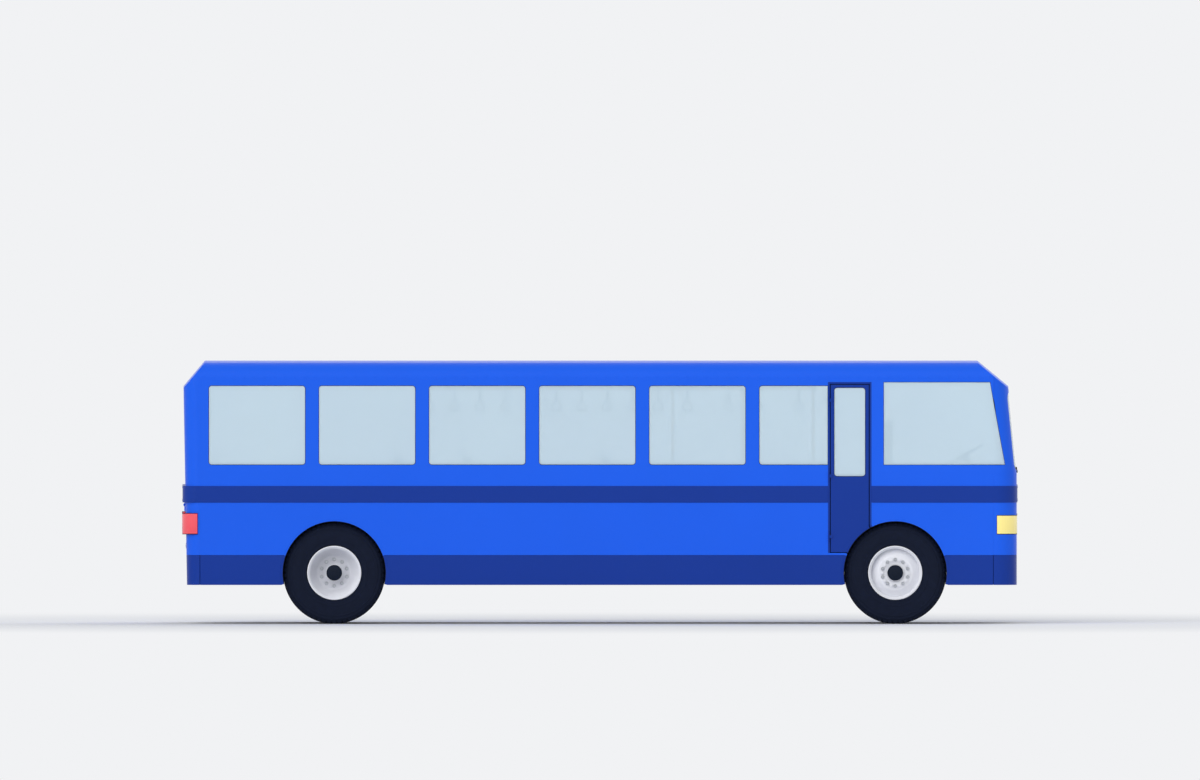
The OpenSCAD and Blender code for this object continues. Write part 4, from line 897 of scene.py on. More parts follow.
class COACH_OT_lamps(CoachOperator, bpy.types.Operator):
    """Fit the corner lamps: fluted lenses on gaskets"""
    bl_idname = "coach.lamps"
    bl_label = "Lamps"

    FLUTE = 0.014
    FLUTE_DEPTH = 0.0018
    STEPS_IN_FLUTE = 4
    PROUD = 0.003
    BACK = 0.030
    EDGE = 0.007
    GASKET_R, GASKET_LAP = 0.0035, 0.001

    def execute(self, context):
        low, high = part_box("headlamps")
        self.lamp("headlamps", "headlamp", low, high, (high.x, SKIN_Y, NOSE_CORNER_R, low.x, FRONT_LAMP_Y, 1))
        low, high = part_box("tail_lamps")
        self.lamp("tail_lamps", "tail_lamp", low, high, (low.x, high.y, TAIL_CORNER_R, high.x, REAR_LAMP_Y, -1))
        return {"FINISHED"}

    def plan(self, end_x, side_y, corner, side_x, inner_y, way):
        """Points (x, y, normal x, normal y) along the left lamp's outer face, evenly spaced."""
        arc = corner_arc(end_x - way * corner, side_y - corner, corner, 90, 90 - way * 90, 24)
        line = [Vector((side_x, side_y))] + [Vector(p) for p in arc if way * (p[0] - side_x) > 0.001]
        line.append(Vector((end_x, inner_y)))
        lengths = [0.0]
        for a, b in zip(line, line[1:]):
            lengths.append(lengths[-1] + (b - a).length)
        count = int(lengths[-1] / self.FLUTE) * self.STEPS_IN_FLUTE
        plan = []
        for i in range(count + 1):
            at = lengths[-1] * i / count
            k = next(j for j in range(len(line) - 1) if at <= lengths[j + 1] + 1e-9)
            along = (line[k + 1] - line[k]).normalized()
            spot = line[k] + along * (at - lengths[k])
            plan.append((spot.x, spot.y, -along.y * way, along.x * way))
        return plan

    def lamp(self, node, look, low, high, shape):
        plan = self.plan(*shape)
        sections = []
        for i, (x, y, nx, ny) in enumerate(plan):
            wave = self.PROUD + abs(math.sin(math.pi * i / self.STEPS_IN_FLUTE)) * self.FLUTE_DEPTH
            half = [(-self.BACK, 0.0), (0.0, 0.0), (self.PROUD, self.EDGE / 2), (wave, self.EDGE)]
            section = [(out, low.z + up) for out, up in half] + [(out, high.z - up) for out, up in reversed(half)]
            sections.append([(x + nx * out, y + ny * out, z) for out, z in section])
        lens = loft(sections)
        mirrored = moved(lens, Matrix.Scale(-1, 4, Vector((0, 1, 0))))
        fit(f"{node}_lenses", [lens, mirrored], "coach", look, 40, replaces=(node,))
        lap = self.GASKET_LAP
        rim = [(x + nx * lap, y + ny * lap, low.z - lap) for x, y, nx, ny in plan]
        rim += [(x + nx * lap, y + ny * lap, high.z + lap) for x, y, nx, ny in reversed(plan)]
        gasket = bead([rim, [(x, -y, z) for x, y, z in rim]], self.GASKET_R, closed=True)
        fit(f"{node}_gaskets", [gasket], "coach", "black_rubber")


class COACH_OT_wheels(CoachOperator, bpy.types.Operator):
    """Dress tyres with tread and ribs, and wheels with nuts and hub caps"""
    bl_idname = "coach.wheels"
    bl_label = "Wheels"

    # Tread rows as distances from the tyre's middle: start and end of a block, and its turn in pitches
    ROWS = ((-0.104, -0.070, 0.0), (-0.059, -0.023, 0.5), (-0.013, 0.013, 0.0), (0.023, 0.059, 0.5),
            (0.070, 0.104, 0.0))
    BLOCK_SHARE = 0.76
    NUTS = 10
    NUT_CIRCLE_R = 0.145
    NUT_R = 0.0176
    CAP_R = 0.0938
    DRUM_R = 0.207
    # Outward from the outer tyre's middle plane: the disc's face, the hub cap's foot and the disc's back
    FACES = {"front": (0.096, 0.096, 0.063), "rear": (-0.156, 0.0, -0.2045)}
    # Half a tyre's section below its tread, as (radius, distance out): ribbed side, bead and liner
    TYRE_SIDE = ((0.520, 0.139), (0.516, 0.1425), (0.508, 0.1445), (0.504, 0.142), (0.486, 0.1438), (0.482, 0.147),
                 (0.470, 0.148), (0.466, 0.1455), (0.417, 0.1485), (0.372, 0.146), (0.368, 0.149), (0.354, 0.1475),
                 (0.350, 0.1445), (0.322, 0.1425), (0.318, 0.1455), (0.3115, 0.1445), (0.309, 0.139),
                 (0.278, 0.1165), (0.278, 0.0885), (0.321, 0.110), (0.500, 0.118), (0.528, 0.088))

    def execute(self, context):
        for end, axle, planes in (("front", AXLE_FRONT, (0.0,)), ("rear", AXLE_REAR, (0.0, -TWIN_PITCH))):
            for side, way in (("right", -1), ("left", 1)):
                low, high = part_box(f"tyre_{end}_{side}")
                centre = Vector((axle.x, way * (max(abs(low.y), abs(high.y)) - TYRE_HALF), axle.z))
                self.tyre(f"{end}_{side}", [centre + Vector((0, way * plane, 0)) for plane in planes])
                self.wheel(f"wheel_{end}_{side}", way, centre, *self.FACES[end])
        return {"FINISHED"}

    def tyre(self, place, middles):
        base = TYRE_R - sizes().tread_depth
        half = [(base, 0.0), (base, 0.104), (base - 0.006, 0.122), *self.TYRE_SIDE]
        section = half + [(r, -out) for r, out in reversed(half[1:])]
        meshes = []
        for middle in middles:
            casing = lathe(section, middle, segments=108)
            smooth_by_angle(casing, 30)
            blocks = grown("ring", self.blocks(middle), "tyre_rubber", Count=sizes().tread_blocks, Centre=middle)
            smooth_by_angle(blocks, 20)
            meshes += [casing, blocks]
        fit(f"tyre_{place}_treaded", meshes, f"wheel_{place}", "tyre_rubber", replaces=(f"tyre_{place}",))

    def blocks(self, middle):
        """One pitch of the tread at the tyre's top, with the lugs on both shoulders."""
        pitch = 360 / sizes().tread_blocks
        half = math.radians(pitch) * TYRE_R * self.BLOCK_SHARE / 2
        top = math.sqrt(TYRE_R ** 2 - half ** 2) - 0.0002
        foot = TYRE_R - sizes().tread_depth - 0.002
        meshes = [moved(self.lug([(foot, start), (top, start), (top, end), (foot, end)], half),
                        turned(turn * pitch, "Y")) for start, end, turn in self.ROWS]
        shoulder = [(foot, 0.1035), (top - 0.001, 0.1035), (0.5495, 0.128), (0.530, 0.139), (0.526, 0.1365),
                    (foot - 0.012, 0.118)]
        meshes += [self.lug([(height, side * across) for height, across in shoulder], half * 0.9) for side in SIDES]
        return moved(joined(meshes), shifted(*middle))

    def lug(self, section, half):
        """A prism of a section in (height, across), half long both ways, narrower at its top."""
        return loft([[(end * (half - 0.002 * (height > TYRE_R - 0.005)), across, height)
                      for height, across in section] for end in SIDES])

    def wheel(self, name, way, centre, face, cap_foot, behind):
        piece = dress(name, "wheel_paint", 0.0015)
        # Brake drum and hub, behind the disc, keep chassis black
        piece.data.materials.append(finish("chassis_steel"))
        for polygon in piece.data.polygons:
            off = polygon.center - centre
            if math.hypot(off.x, off.z) < self.DRUM_R and way * off.y < behind:
                polygon.material_index = 1
        nuts = grown("ring", self.nut(centre, way, face), "bright_steel", Count=self.NUTS, Centre=centre)
        fit(f"{name}_nuts", [nuts], name, "bright_steel")
        profile = [(POLE_R, -0.004), (self.CAP_R, -0.004), (self.CAP_R, 0.019), (self.CAP_R - 0.003, 0.0235),
                   (self.CAP_R - 0.012, 0.0365), (self.CAP_R - 0.018, 0.0385), (0.030, 0.0428), (0.027, 0.0455),
                   (POLE_R, 0.0455)]
        cap = lathe([(radius, cap_foot + out) for radius, out in profile], centre, way, 72)
        fit(f"{name}_cap", [cap], name, "hub_paint", 25)

    def nut(self, centre, way, face):
        """A hexagon nut with a chamfer, a collar and the stud's end."""
        rings = [(0.0225, -0.003), (0.0225, 0.004), (self.NUT_R, 0.005), (self.NUT_R, 0.0225),
                 (self.NUT_R - 0.003, 0.0258), (0.0095, 0.0258), (0.0095, 0.034), (0.0075, 0.036)]
        return loft([[(centre.x + radius * math.sin(angle), centre.y + way * (face + out),
                       centre.z + self.NUT_CIRCLE_R + radius * math.cos(angle)) for angle in circle(6)]
                     for radius, out in rings])


class COACH_OT_running_gear(CoachOperator, bpy.types.Operator):
    """Finish frame, axles, springs, tanks, engine and exhaust, with their clamps and bolts"""
    bl_idname = "coach.running_gear"
    bl_label = "Running gear"

    COATED = ("chassis_frame", "cross_members", "tow_brackets", "front_axle", "knuckle_right", "knuckle_left",
              "tie_rod", "rear_axle", "springs", "tanks")
    U_BOLT_R, HOOP_R = 0.008, 0.006
    # A U-bolt's bend from its leg to its bridge, as distances inward and below its top
    BEND = ((0.0, 0.012), (0.006, 0.003), (0.014, 0.0))
    # Distance of a hoop from its tank's end, and least points of an end face
    HOOP_IN, END_POINTS = 0.06, 20
    # Pulleys on the engine's rear face: across, height above its foot and radius
    PULLEYS = ((0.0, 0.16, 0.105), (-0.17, 0.33, 0.062), (0.16, 0.36, 0.07), (0.0, 0.47, 0.09))

    def execute(self, context):
        for node in self.COATED:
            dress(node, "chassis_steel", 0.003)
        dress("engine", "engine_paint", 0.015)
        dress("exhaust", "machined_steel", 0.003)
        dress("wheel_housings", "chassis_steel", 0.002)
        dress("wipers", "black_rubber", 0.001)
        self.u_bolts()
        self.tank_hoops()
        self.engine_covers()
        return {"FINISHED"}

    def u_bolts(self):
        """Pairs of U-bolts hold each spring to its axle."""
        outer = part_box("springs")[1].y + 0.012
        inner = outer - SPRING_W - 0.024
        paths = []
        for side in SIDES:
            for axle, reach, foot, top in ((AXLE_FRONT, 0.062, -0.128, 0.030), (AXLE_REAR, 0.078, -0.140, 0.076)):
                for x in (axle.x - reach, axle.x + reach):
                    leg = [(0.0, foot)] + [(inward, top - below) for inward, below in self.BEND]
                    paths.append([(x, side * (inner + inward), axle.z + z) for inward, z in leg]
                                 + [(x, side * (outer - inward), axle.z + z) for inward, z in reversed(leg)])
        fit("spring_u_bolts", [bead(paths, self.U_BOLT_R, "chassis_steel")], "coach", "bright_steel")

    def tank_hoops(self):
        """Steel hoops round the tanks, over their saddles."""
        work = merged("tanks")
        ends = [[v.co.copy() for v in face.verts] for face in work.faces
                if abs(face.normal.x) > 0.99 and len(face.verts) > self.END_POINTS]
        work.free()
        middles = [sum(rim, Vector()) / len(rim) for rim in ends]
        hoops = []
        for rim, middle in zip(ends, middles):
            radius = max((p - middle).length for p in rim) + 0.002
            inward = -1 if any(o.x < middle.x - 0.2 and abs(o.y - middle.y) < 0.02 for o in middles) else 1
            hoops.append([(middle.x + inward * self.HOOP_IN, middle.y + radius * math.cos(a),
                           middle.z + radius * math.sin(a)) for a in circle(40)])
        if not hoops:
            raise RuntimeError("no tank end was found")
        fit("tank_hoops", [bead(hoops, self.HOOP_R, "bright_steel", closed=True)], "coach", "bright_steel")

    def engine_covers(self):
        """Ribbed rocker covers on the engine, and the fan belt's pulleys on its rear face."""
        low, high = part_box("engine")
        rib_pitch = 0.05
        meshes = []
        for side in SIDES:
            y = (low.y + high.y) / 2 + side * (high.y - low.y) * 0.24
            meshes.append(slab((low.x + 0.06, y - 0.085, high.z - 0.002),
                               (high.x - 0.06, y + 0.085, high.z + 0.035), 0.014, 3))
            rib = slab((low.x + 0.10, y - 0.07, high.z + 0.030),
                       (low.x + 0.112, y + 0.07, high.z + 0.041), 0.003, 1)
            meshes.append(grown("line", rib, "engine_paint", Count=int((high.x - low.x - 0.2) / rib_pitch),
                                Step=(rib_pitch, 0, 0)))
        fit("engine_covers", meshes, "coach", "machined_steel", 35)
        pulleys = []
        for y, up, radius in self.PULLEYS:
            rings = [(POLE_R, 0.0), (radius, 0.0), (radius, 0.006), (radius - 0.010, 0.013),
                     (radius - 0.010, 0.017), (radius, 0.024), (radius, 0.030), (radius - 0.02, 0.030),
                     (radius - 0.024, 0.022), (0.030, 0.022), (0.028, 0.034), (POLE_R, 0.034)]
            pulleys.append(moved(lathe(rings), shifted(low.x, y, low.z + up), turned(90, "Z")))
        fit("engine_pulleys", pulleys, "coach", "bright_steel", 30)


class COACH_OT_seals(CoachOperator, bpy.types.Operator):
    """Fit stops round the doors, covers behind the skirts' seams, and flanges with lips to the wheel arches"""
    bl_idname = "coach.seals"
    bl_label = "Seals and arch flanges"

    # The stops stand behind the doors' inner faces
    STOP_GAP, STOP_T, STOP_LAP = 0.002, 0.009, 0.010
    SEAM_HALF = 0.014
    SHEET_T = 0.006
    FLANGE_R = TYRE_R + 0.004
    FLANGE_W = 0.022
    LIP_R = 0.005
    # How far the lip's middle stands out from the flange's edge, as a share of its radius
    LIP_OUT = 0.4

    def execute(self, context):
        self.door_stops()
        self.seam_covers()
        self.splash_guards()
        self.flanges()
        return {"FINISHED"}

    def door_stops(self):
        """Rubber-faced stops round each doorway, which the leaf closes against from outside."""
        low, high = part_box("door_right")
        jamb_low, jamb_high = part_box("door_hinges")
        leaf_x = jamb_low.x + jamb_high.x - high.x
        lap = self.STOP_LAP
        x0, x1, top = leaf_x - 2 * lap, high.x + 2 * lap, high.z + 2 * lap
        arch_z = AXLE_FRONT.z + math.sqrt(ARCH_R ** 2 - (high.x - AXLE_FRONT.x) ** 2)
        sill_x = AXLE_FRONT.x - math.sqrt(ARCH_R ** 2 - (low.z - AXLE_FRONT.z) ** 2)
        strips = [(x0, leaf_x + lap, FLOOR_TOP, top), (high.x - lap, x1, arch_z, top),
                  (x0, x1, high.z - lap, top), (x0, sill_x, FLOOR_TOP, low.z + lap)]
        y = INNER_Y - self.STOP_GAP
        fit("door_stops", [slab((ax, side * y, az), (bx, side * (y - self.STOP_T), bz), 0.002, 1)
                           for side in SIDES for ax, bx, az, bz in strips], "coach", "black_rubber", 35)

    def seam_covers(self):
        """Strips behind the upright seams between skirts and bumpers."""
        fit("seam_covers", [slab((x - self.SEAM_HALF, side * (INNER_Y + 0.001), SKIRT_LOW.z + 0.004),
                                 (x + self.SEAM_HALF, side * (INNER_Y - 0.005), SKIRT_HIGH.z - 0.004), 0.001, 1)
                            for side in SIDES for x in (WALL_LOW.x, WALL_HIGH.x)], "coach", "black_rubber")

    def splash_guards(self):
        """Rubber sheets carry the wheel housings' ends down to the skirts' lower edge."""
        low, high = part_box("wheel_housings")
        frame_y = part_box("chassis_frame")[1].y + 0.025
        sheets = []
        for axle_x, reach in ((AXLE_REAR.x, AXLE_REAR.x - low.x), (AXLE_FRONT.x, high.x - AXLE_FRONT.x)):
            sheets += [slab((axle_x - end * reach, side * frame_y, SKIRT_LOW.z + 0.002),
                            (axle_x - end * (reach - self.SHEET_T), side * (INNER_Y - 0.001), low.z + 0.004),
                            0.002, 1) for side in SIDES for end in (1, -1)]
        fit("splash_guards", sheets, "coach", "black_rubber")

    def flanges(self):
        """Pressed flanges close the arches round the tyres, flush with the skin, and end in rubber lips."""
        at_z = lambda z: math.degrees(math.asin((z - AXLE_FRONT.z) / ARCH_R))
        at_x = lambda x: math.degrees(math.acos((x - AXLE_FRONT.x) / ARCH_R))
        foot, skirt, sill = at_z(SKIRT_LOW.z + 0.003), at_z(SKIRT_HIGH.z), at_z(FLOOR_TOP)
        low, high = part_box("door_right")
        gap = low.z - FLOOR_TOP
        leaf = (at_x(high.x - 0.001), 180 - at_z(low.z + 0.001))
        jamb = (at_x(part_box("door_hinges")[1].x), at_x(high.x + gap))
        rear, front = AXLE_REAR, AXLE_FRONT
        arcs = {"body_paint": ((rear, skirt, 180 - skirt), (front, skirt, jamb[0]),
                               (front, 180 - sill, 180 - skirt)),
                "trim_paint": ((rear, foot, skirt), (rear, 180 - skirt, 180 - foot), (front, foot, skirt),
                               (front, *jamb), (front, 180 - skirt, 180 - foot))}
        for look, spans in arcs.items():
            fit(f"arch_flanges_{look.split('_')[0]}",
                [self.strip(axle, side, start, end) for axle, start, end in spans for side in SIDES],
                "coach", look, 40)
        lips = [(axle, side, start, end) for axle, start, end in (
            (rear, foot, 180 - foot), (front, foot, jamb[1]), (front, 180 - sill, 180 - foot)) for side in SIDES]
        self.lip("wheel_arch_lips", lips, "coach")
        for door, side in (("door_right", -1), ("door_left", 1)):
            fit(f"{door}_arch_flange", [self.strip(front, side, *leaf)], door, "trim_paint", 40)
            self.lip(f"{door}_arch_lip", [(front, side, *leaf)], door)

    def turns(self, start, end):
        """Angles about an axle at even steps of about 3 degrees."""
        count = max(1, round((end - start) / 3))
        return [math.radians(start + (end - start) * i / count) for i in range(count + 1)]

    def lip(self, name, spans, body):
        radius = self.FLANGE_R + self.LIP_R * self.LIP_OUT
        paths = [[(axle.x + radius * math.cos(a), side * (SKIN_Y - self.LIP_R), axle.z + radius * math.sin(a))
                  for a in self.turns(start, end)] for axle, side, start, end in spans]
        fit(name, [bead(paths, self.LIP_R)], body, "black_rubber", 40)

    def strip(self, axle, side, start, end):
        """A flange's flat bar along part of an arch, with a rounded inner edge."""
        out, back, foot, head = SKIN_Y, SKIN_Y - self.FLANGE_W, self.FLANGE_R, ARCH_R + 0.0005
        section = [(head, back), (head, out - 0.001), (head - 0.001, out), (foot + 0.004, out),
                   (foot + 0.001, out - 0.0012), (foot, out - 0.004), (foot, back)]
        return loft([[(axle.x + r * math.cos(a), side * y, axle.z + r * math.sin(a)) for r, y in section]
                     for a in self.turns(start, end)])


class COACH_OT_engine_lid(CoachOperator, bpy.types.Operator):
    """Fit louvre slats and latches to the engine lid"""
    bl_idname = "coach.engine_lid"
    bl_label = "Engine lid"

    # The lid's slots: first height, pitch, count, half width of one and its middle
    SLOT_Z, SLOT_PITCH, SLOTS = 0.879, 0.042, 9
    SLOT_HALF_W, SLOT_Y = 0.310, 0.340
    # A slat's section, as distances forward of the lid's face and above the slot's height
    SLAT = ((0.002, -0.004), (0.0035, -0.0055), (0.034, 0.0135), (0.033, 0.0155))
    LATCH_Y, LATCH_UP = 0.62, 0.032

    def execute(self, context):
        x, half = lid_face(self.SLOT_Z), self.SLOT_HALF_W - 0.001
        slats = []
        for side in SIDES:
            slat = loft([[(x + ahead, side * self.SLOT_Y + end * half, self.SLOT_Z + up) for ahead, up in self.SLAT]
                         for end in SIDES])
            slats.append(grown("line", slat, "body_paint", Count=self.SLOTS,
                               Step=(TAIL_LEAN_X * self.SLOT_PITCH, 0, self.SLOT_PITCH)))
        fit("engine_lid_slats", slats, "engine_lid", "body_paint")
        cup = lathe([(POLE_R, 0.0), (0.026, 0.0), (0.026, 0.003), (0.021, 0.005), (0.019, 0.002), (POLE_R, 0.002)],
                    segments=40)
        latch = joined([cup, slab((-0.018, 0.002, -0.0045), (0.018, 0.0085, 0.0045), 0.0015, 1)])
        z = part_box("engine_lid")[0].z + self.LATCH_UP
        fit("engine_lid_latches", [moved(latch, shifted(lid_face(z), side * self.LATCH_Y, z), turned(90, "Z"))
                                   for side in SIDES], "engine_lid", "bright_steel", 30)
        return {"FINISHED"}


class COACH_OT_saloon(CoachOperator, bpy.types.Operator):
    """Line the saloon and fit out floor, handrails, clamps and hanging grips"""
    bl_idname = "coach.saloon"
    bl_label = "Saloon"

    LINING_T = 0.003
    LINED = ("side_wall_right", "side_wall_left", "roof", "tail_panel", "screen_frame", "nose_panel")
    BOARD_T, FELT_T, FELT_GAP = 0.012, 0.007, 0.0005
    STRAP_DROP, STRAP_HALF_W, STRAP_HALF_T = 0.150, 0.0125, 0.0012
    GRIP_R, GRIP_BAR_R = 0.052, 0.0085
    # Least distance of a grip from a pole
    GRIP_IN = 0.16

    def execute(self, context):
        dress("floor_deck", "floor_cover", 0.002)
        dress("handrails", "handrail")
        for node in self.LINED:
            self.line(node)
        self.engine_hatch()
        rail_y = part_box("handrails")[1].y - RAIL_R
        self.clamps(rail_y)
        self.grips(rail_y)
        self.door_rails()
        return {"FINISHED"}

    def line(self, node):
        """A thin lining over a node's inner faces, a little back from their edges."""
        work = merged(node)
        kept = {face for face in work.faces if self.is_inner(node, face)}
        bmesh.ops.delete(work, geom=[face for face in work.faces if face not in kept], context="FACES")
        if not work.faces:
            raise RuntimeError(f"{node}: no inner face was found")
        for vertex in work.verts:
            vertex.co += vertex.normal * 0.0005
        bmesh.ops.triangulate(work, faces=work.faces)
        mesh = freed(work, f"{node}_lining")
        smooth_by_angle(mesh)
        piece = add_object(f"{node}_lining", mesh)
        wall = piece.modifiers.new("Board", "SOLIDIFY")
        wall.thickness = self.LINING_T
        wall.offset = 1
        fit_out(piece, "coach", "lining")

    def is_inner(self, node, face):
        """Whether a lining shows on a face: it looks inward, above the floor, and is no edge of a cut or seam."""
        middle, normal = face.calc_center_median(), face.normal
        across = normal.y * middle.y < -0.5 * abs(middle.y)
        if node.startswith("side_wall"):
            keep = across
        elif node == "roof":
            to_core = -Vector((middle.x * 0.25, middle.y, middle.z - 1.7)).normalized()
            keep = normal.dot(to_core) > 0.25 and middle.z < ROOF_HIGH.z - 0.02 and face.calc_area() > 0.002
        else:
            keep = normal.x * middle.x < -0.2 * abs(middle.x) or (across and face.calc_area() > 0.001)
        at_seam = (abs(normal.z) > 0.9 and middle.z < ROOF_HIGH.z - 0.12) or (
            abs(normal.x) > 0.9 and min(abs(middle.x - end.x) for end in (WALL_LOW, WALL_HIGH)) < 0.001)
        in_reveal = abs(normal.y) > 0.9 and abs(middle.y) < INNER_Y - 0.03
        # The edge of the nose that leans along the cab's side pane
        in_lean = middle.x > 0 and abs(normal.x) > 0.8 and abs(middle.y) > SKIN_Y - 0.1
        return keep and not (at_seam or in_reveal or in_lean) and middle.z > FLOOR_TOP - 0.03

    def engine_hatch(self):
        """A boxed ledge behind the last seats shuts the engine bay off from the saloon."""
        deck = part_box("floor_deck")[1].z
        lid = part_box("engine_lid")[1]
        top, half = lid.z + 0.050, lid.y + 0.040
        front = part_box("seat_frames")[0].x - 0.020
        back, far = (lid_face(z) + WALL_T + 0.001 for z in (top, deck))
        board, felt, gap = self.BOARD_T, self.FELT_T, self.FELT_GAP
        boards = [((front - board, -half, deck), (front, half, top)),
                  ((back, -half, top - board), (front + 0.004, half, top))]
        boards += [((far, side * half, deck), (front, side * (half - board), top)) for side in SIDES]
        fit("engine_hatch", [slab(*ends, 0.003, 2) for ends in boards], "coach", "lining", 35)
        # Rubber-faced felt keeps the noise out of the saloon, on the engine's side of the boards
        near, under, inside = front - board - gap, top - board - gap, half - board - gap
        felts = [((near - felt, -inside, deck), (near, inside, under)),
                 ((back, -inside, under - felt), (near - felt - gap, inside, under))]
        felts += [((far, side * inside, deck), (near - felt - gap, side * (inside - felt), under - felt - gap))
                  for side in SIDES]
        fit("engine_bay_felt", [slab(*ends) for ends in felts], "coach", "black_rubber")

    def clamps(self, rail_y):
        """Sockets at the poles' feet and heads, and tees where poles and rails cross."""
        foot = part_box("handrails")[0].z
        upright, level = turned(90, "X"), turned(-90, "Z")
        meshes = []
        for side in SIDES:
            for x in POLE_XS:
                meshes += [self.collar(x, side * rail_y, z, height, upright)
                           for z, height in ((foot, 0.028), (TOP_RAIL_Z - 0.035, 0.070))]
                meshes += [self.collar(x + end * 0.045, side * rail_y, TOP_RAIL_Z, 0.03, level)
                           for end in SIDES if RAIL_X0 < x + end * 0.05 < RAIL_X1]
        fit("handrail_clamps", meshes, "coach", "cab_plastic", 30)

    def collar(self, x, y, z, height, turn):
        profile = [(RAIL_R - 0.002, 0.0), (RAIL_R + 0.009, 0.0), (RAIL_R + 0.011, 0.002),
                   (RAIL_R + 0.011, height - 0.005), (RAIL_R + 0.006, height), (RAIL_R - 0.002, height)]
        return moved(lathe(profile, segments=32), shifted(x, y, z), turn)

    def grips(self, rail_y):
        """Hanging grips: a webbing strap over the rail and a moulded ring."""
        straps, rings = [], []
        for side in SIDES:
            for start, end in zip((RAIL_X0,) + POLE_XS, POLE_XS):
                length = end - start - 2 * self.GRIP_IN
                count = int(length / sizes().strap_pitch) + 1
                row = {"Count": count, "Step": (length / max(count - 1, 1), 0, 0)}
                x, y = start + self.GRIP_IN, side * rail_y
                straps.append(grown("line", self.strap(x, y), "seat_vinyl", **row))
                rings.append(grown("line", self.ring(x, y), "cab_plastic", **row))
        fit("grip_straps", straps, "coach", "seat_vinyl", 40)
        fit("grip_rings", rings, "coach", "cab_plastic", 40)

    def strap(self, x, y):
        """A flat webbing loop about the rail, drawn together below it."""
        radius, half, thick = RAIL_R + 0.0018, self.STRAP_HALF_W, self.STRAP_HALF_T
        line = [(0.0022, -self.STRAP_DROP), (0.0022, -0.040), *corner_arc(0, 0, radius, -50, 230, 14),
                (-0.0022, -0.040), (-0.0022, -self.STRAP_DROP)]
        sections = []
        for i, (across, up) in enumerate(line):
            along = (Vector(line[min(i + 1, len(line) - 1)]) - Vector(line[max(i - 1, 0)])).normalized()
            sections.append([(x + sx, y + across + along.y * st, TOP_RAIL_Z + up - along.x * st)
                             for sx, st in ((-half, -thick), (half, -thick), (half, thick), (-half, thick))])
        return loft(sections)

    def ring(self, x, y):
        """A rounded triangle of moulded bar under the strap."""
        middle = TOP_RAIL_Z - self.STRAP_DROP - self.GRIP_R
        sections = []
        for angle in circle(24):
            reach = self.GRIP_R * (1 + 0.16 * math.cos(3 * (angle - math.pi / 2)))
            radii = [(reach + self.GRIP_BAR_R * math.cos(b), self.GRIP_BAR_R * math.sin(b)) for b in circle(8)]
            sections.append([(x + r * math.cos(angle), y + out, middle + r * math.sin(angle)) for r, out in radii])
        return loft(sections, wrapped=True)

    def door_rails(self):
        """A pull rail inside each door leaf, on two standoffs."""
        for door, way in (("door_right", -1), ("door_left", 1)):
            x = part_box(door)[1].x - 0.045
            path = [(x, way * (INNER_Y - out), z) for out, z in (
                (-0.004, 1.18), (0.035, 1.18), (0.049, 1.186), (0.055, 1.20), (0.055, 1.52), (0.049, 1.534),
                (0.035, 1.54), (-0.004, 1.54))]
            fit(f"{door}_rail", [bead([path], 0.014, "handrail")], door, "handrail")


class COACH_OT_seats(CoachOperator, bpy.types.Operator):
    """Upholster the saloon's seats: padded cushions with piping in bent shells"""
    bl_idname = "coach.seats"
    bl_label = "Seats"

    VOXEL, SWELL = 0.014, 0.011
    PIPING_R, PIPING_CORNER_R = 0.0045, 0.035

    def execute(self, context):
        dress("seat_frames", "seat_shell", 0.002)
        made = {}
        meshes, pipes = [], []
        for low, high in self.cushion_boxes("seat_cushions"):
            size = tuple(round(v, 3) for v in high - low)
            if size not in made:
                made[size] = padding(size, self.VOXEL, self.SWELL, 2 if size[2] < size[0] else 0)
            meshes.append(moved(made[size], shifted(*low)))
            pipes.append(self.piping(low, high))
        cushions = fit("seat_cushions_padded", meshes, "coach", "seat_fabric", 60, replaces=("seat_cushions",))
        fit("seat_piping", [bead(pipes, self.PIPING_R, closed=True)], "coach", "black_rubber")
        return {"FINISHED"}

    def cushion_boxes(self, node):
        """Corners of each loose solid of a node."""
        work = merged(node)
        groups = islands(work.verts, lambda vertex: [near for edge in vertex.link_edges for near in edge.verts])
        boxes = [[Vector(pick(v.co[i] for v in group) for i in range(3)) for pick in (min, max)]
                 for group in groups]
        work.free()
        return sorted(boxes, key=lambda box: tuple(box[0]))

    def piping(self, low, high):
        """The seam's path round a cushion's upper or front face."""
        if high.z - low.z < high.x - low.x:
            u0, u1 = low.x + 0.006, high.x - 0.008
            place = lambda u, v: (u, v, high.z - 0.020)
        else:
            u0, u1 = low.z + 0.006, high.z - 0.008
            place = lambda u, v: (high.x - 0.018, v, u)
        r = self.PIPING_CORNER_R
        u0, u1, v0, v1 = u0 + r, u1 - r, low.y + 0.004 + r, high.y - 0.004 - r
        return [place(u, v) for cu, cv, start in ((u1, v1, 0), (u0, v1, 90), (u0, v0, 180), (u1, v0, 270))
                for u, v in corner_arc(cu, cv, r, start, start + 90, 6)]


def padding(size, voxel, cap, flat):
    """A cushion of a size with its low corner at zero: inflated cloth, flat where it rests, across axis flat."""
    inset = 0.007
    low = [0.0 if i == flat else inset for i in range(3)]
    piece = add_object("padding", slab(low, [length - inset for length in size], min(0.03, min(size) * 0.3), 3))
    remesh = piece.modifiers.new("Even net", "REMESH")
    remesh.mode = "VOXEL"
    remesh.voxel_size = voxel
    even = applied(piece)
    rest = places(even)
    swollen = inflated(even, rest, flat, voxel)
    step = swollen - rest
    step *= np.minimum(1.0, cap / np.maximum(np.linalg.norm(step, axis=1, keepdims=True), 1e-9))
    # Corners stay behind, where the cover is sewn together
    fresh = np.clip(rest + step, 0.0005, np.array(size) - 0.0005)
    even.vertices.foreach_set("co", fresh.ravel())
    even.update()
    return even


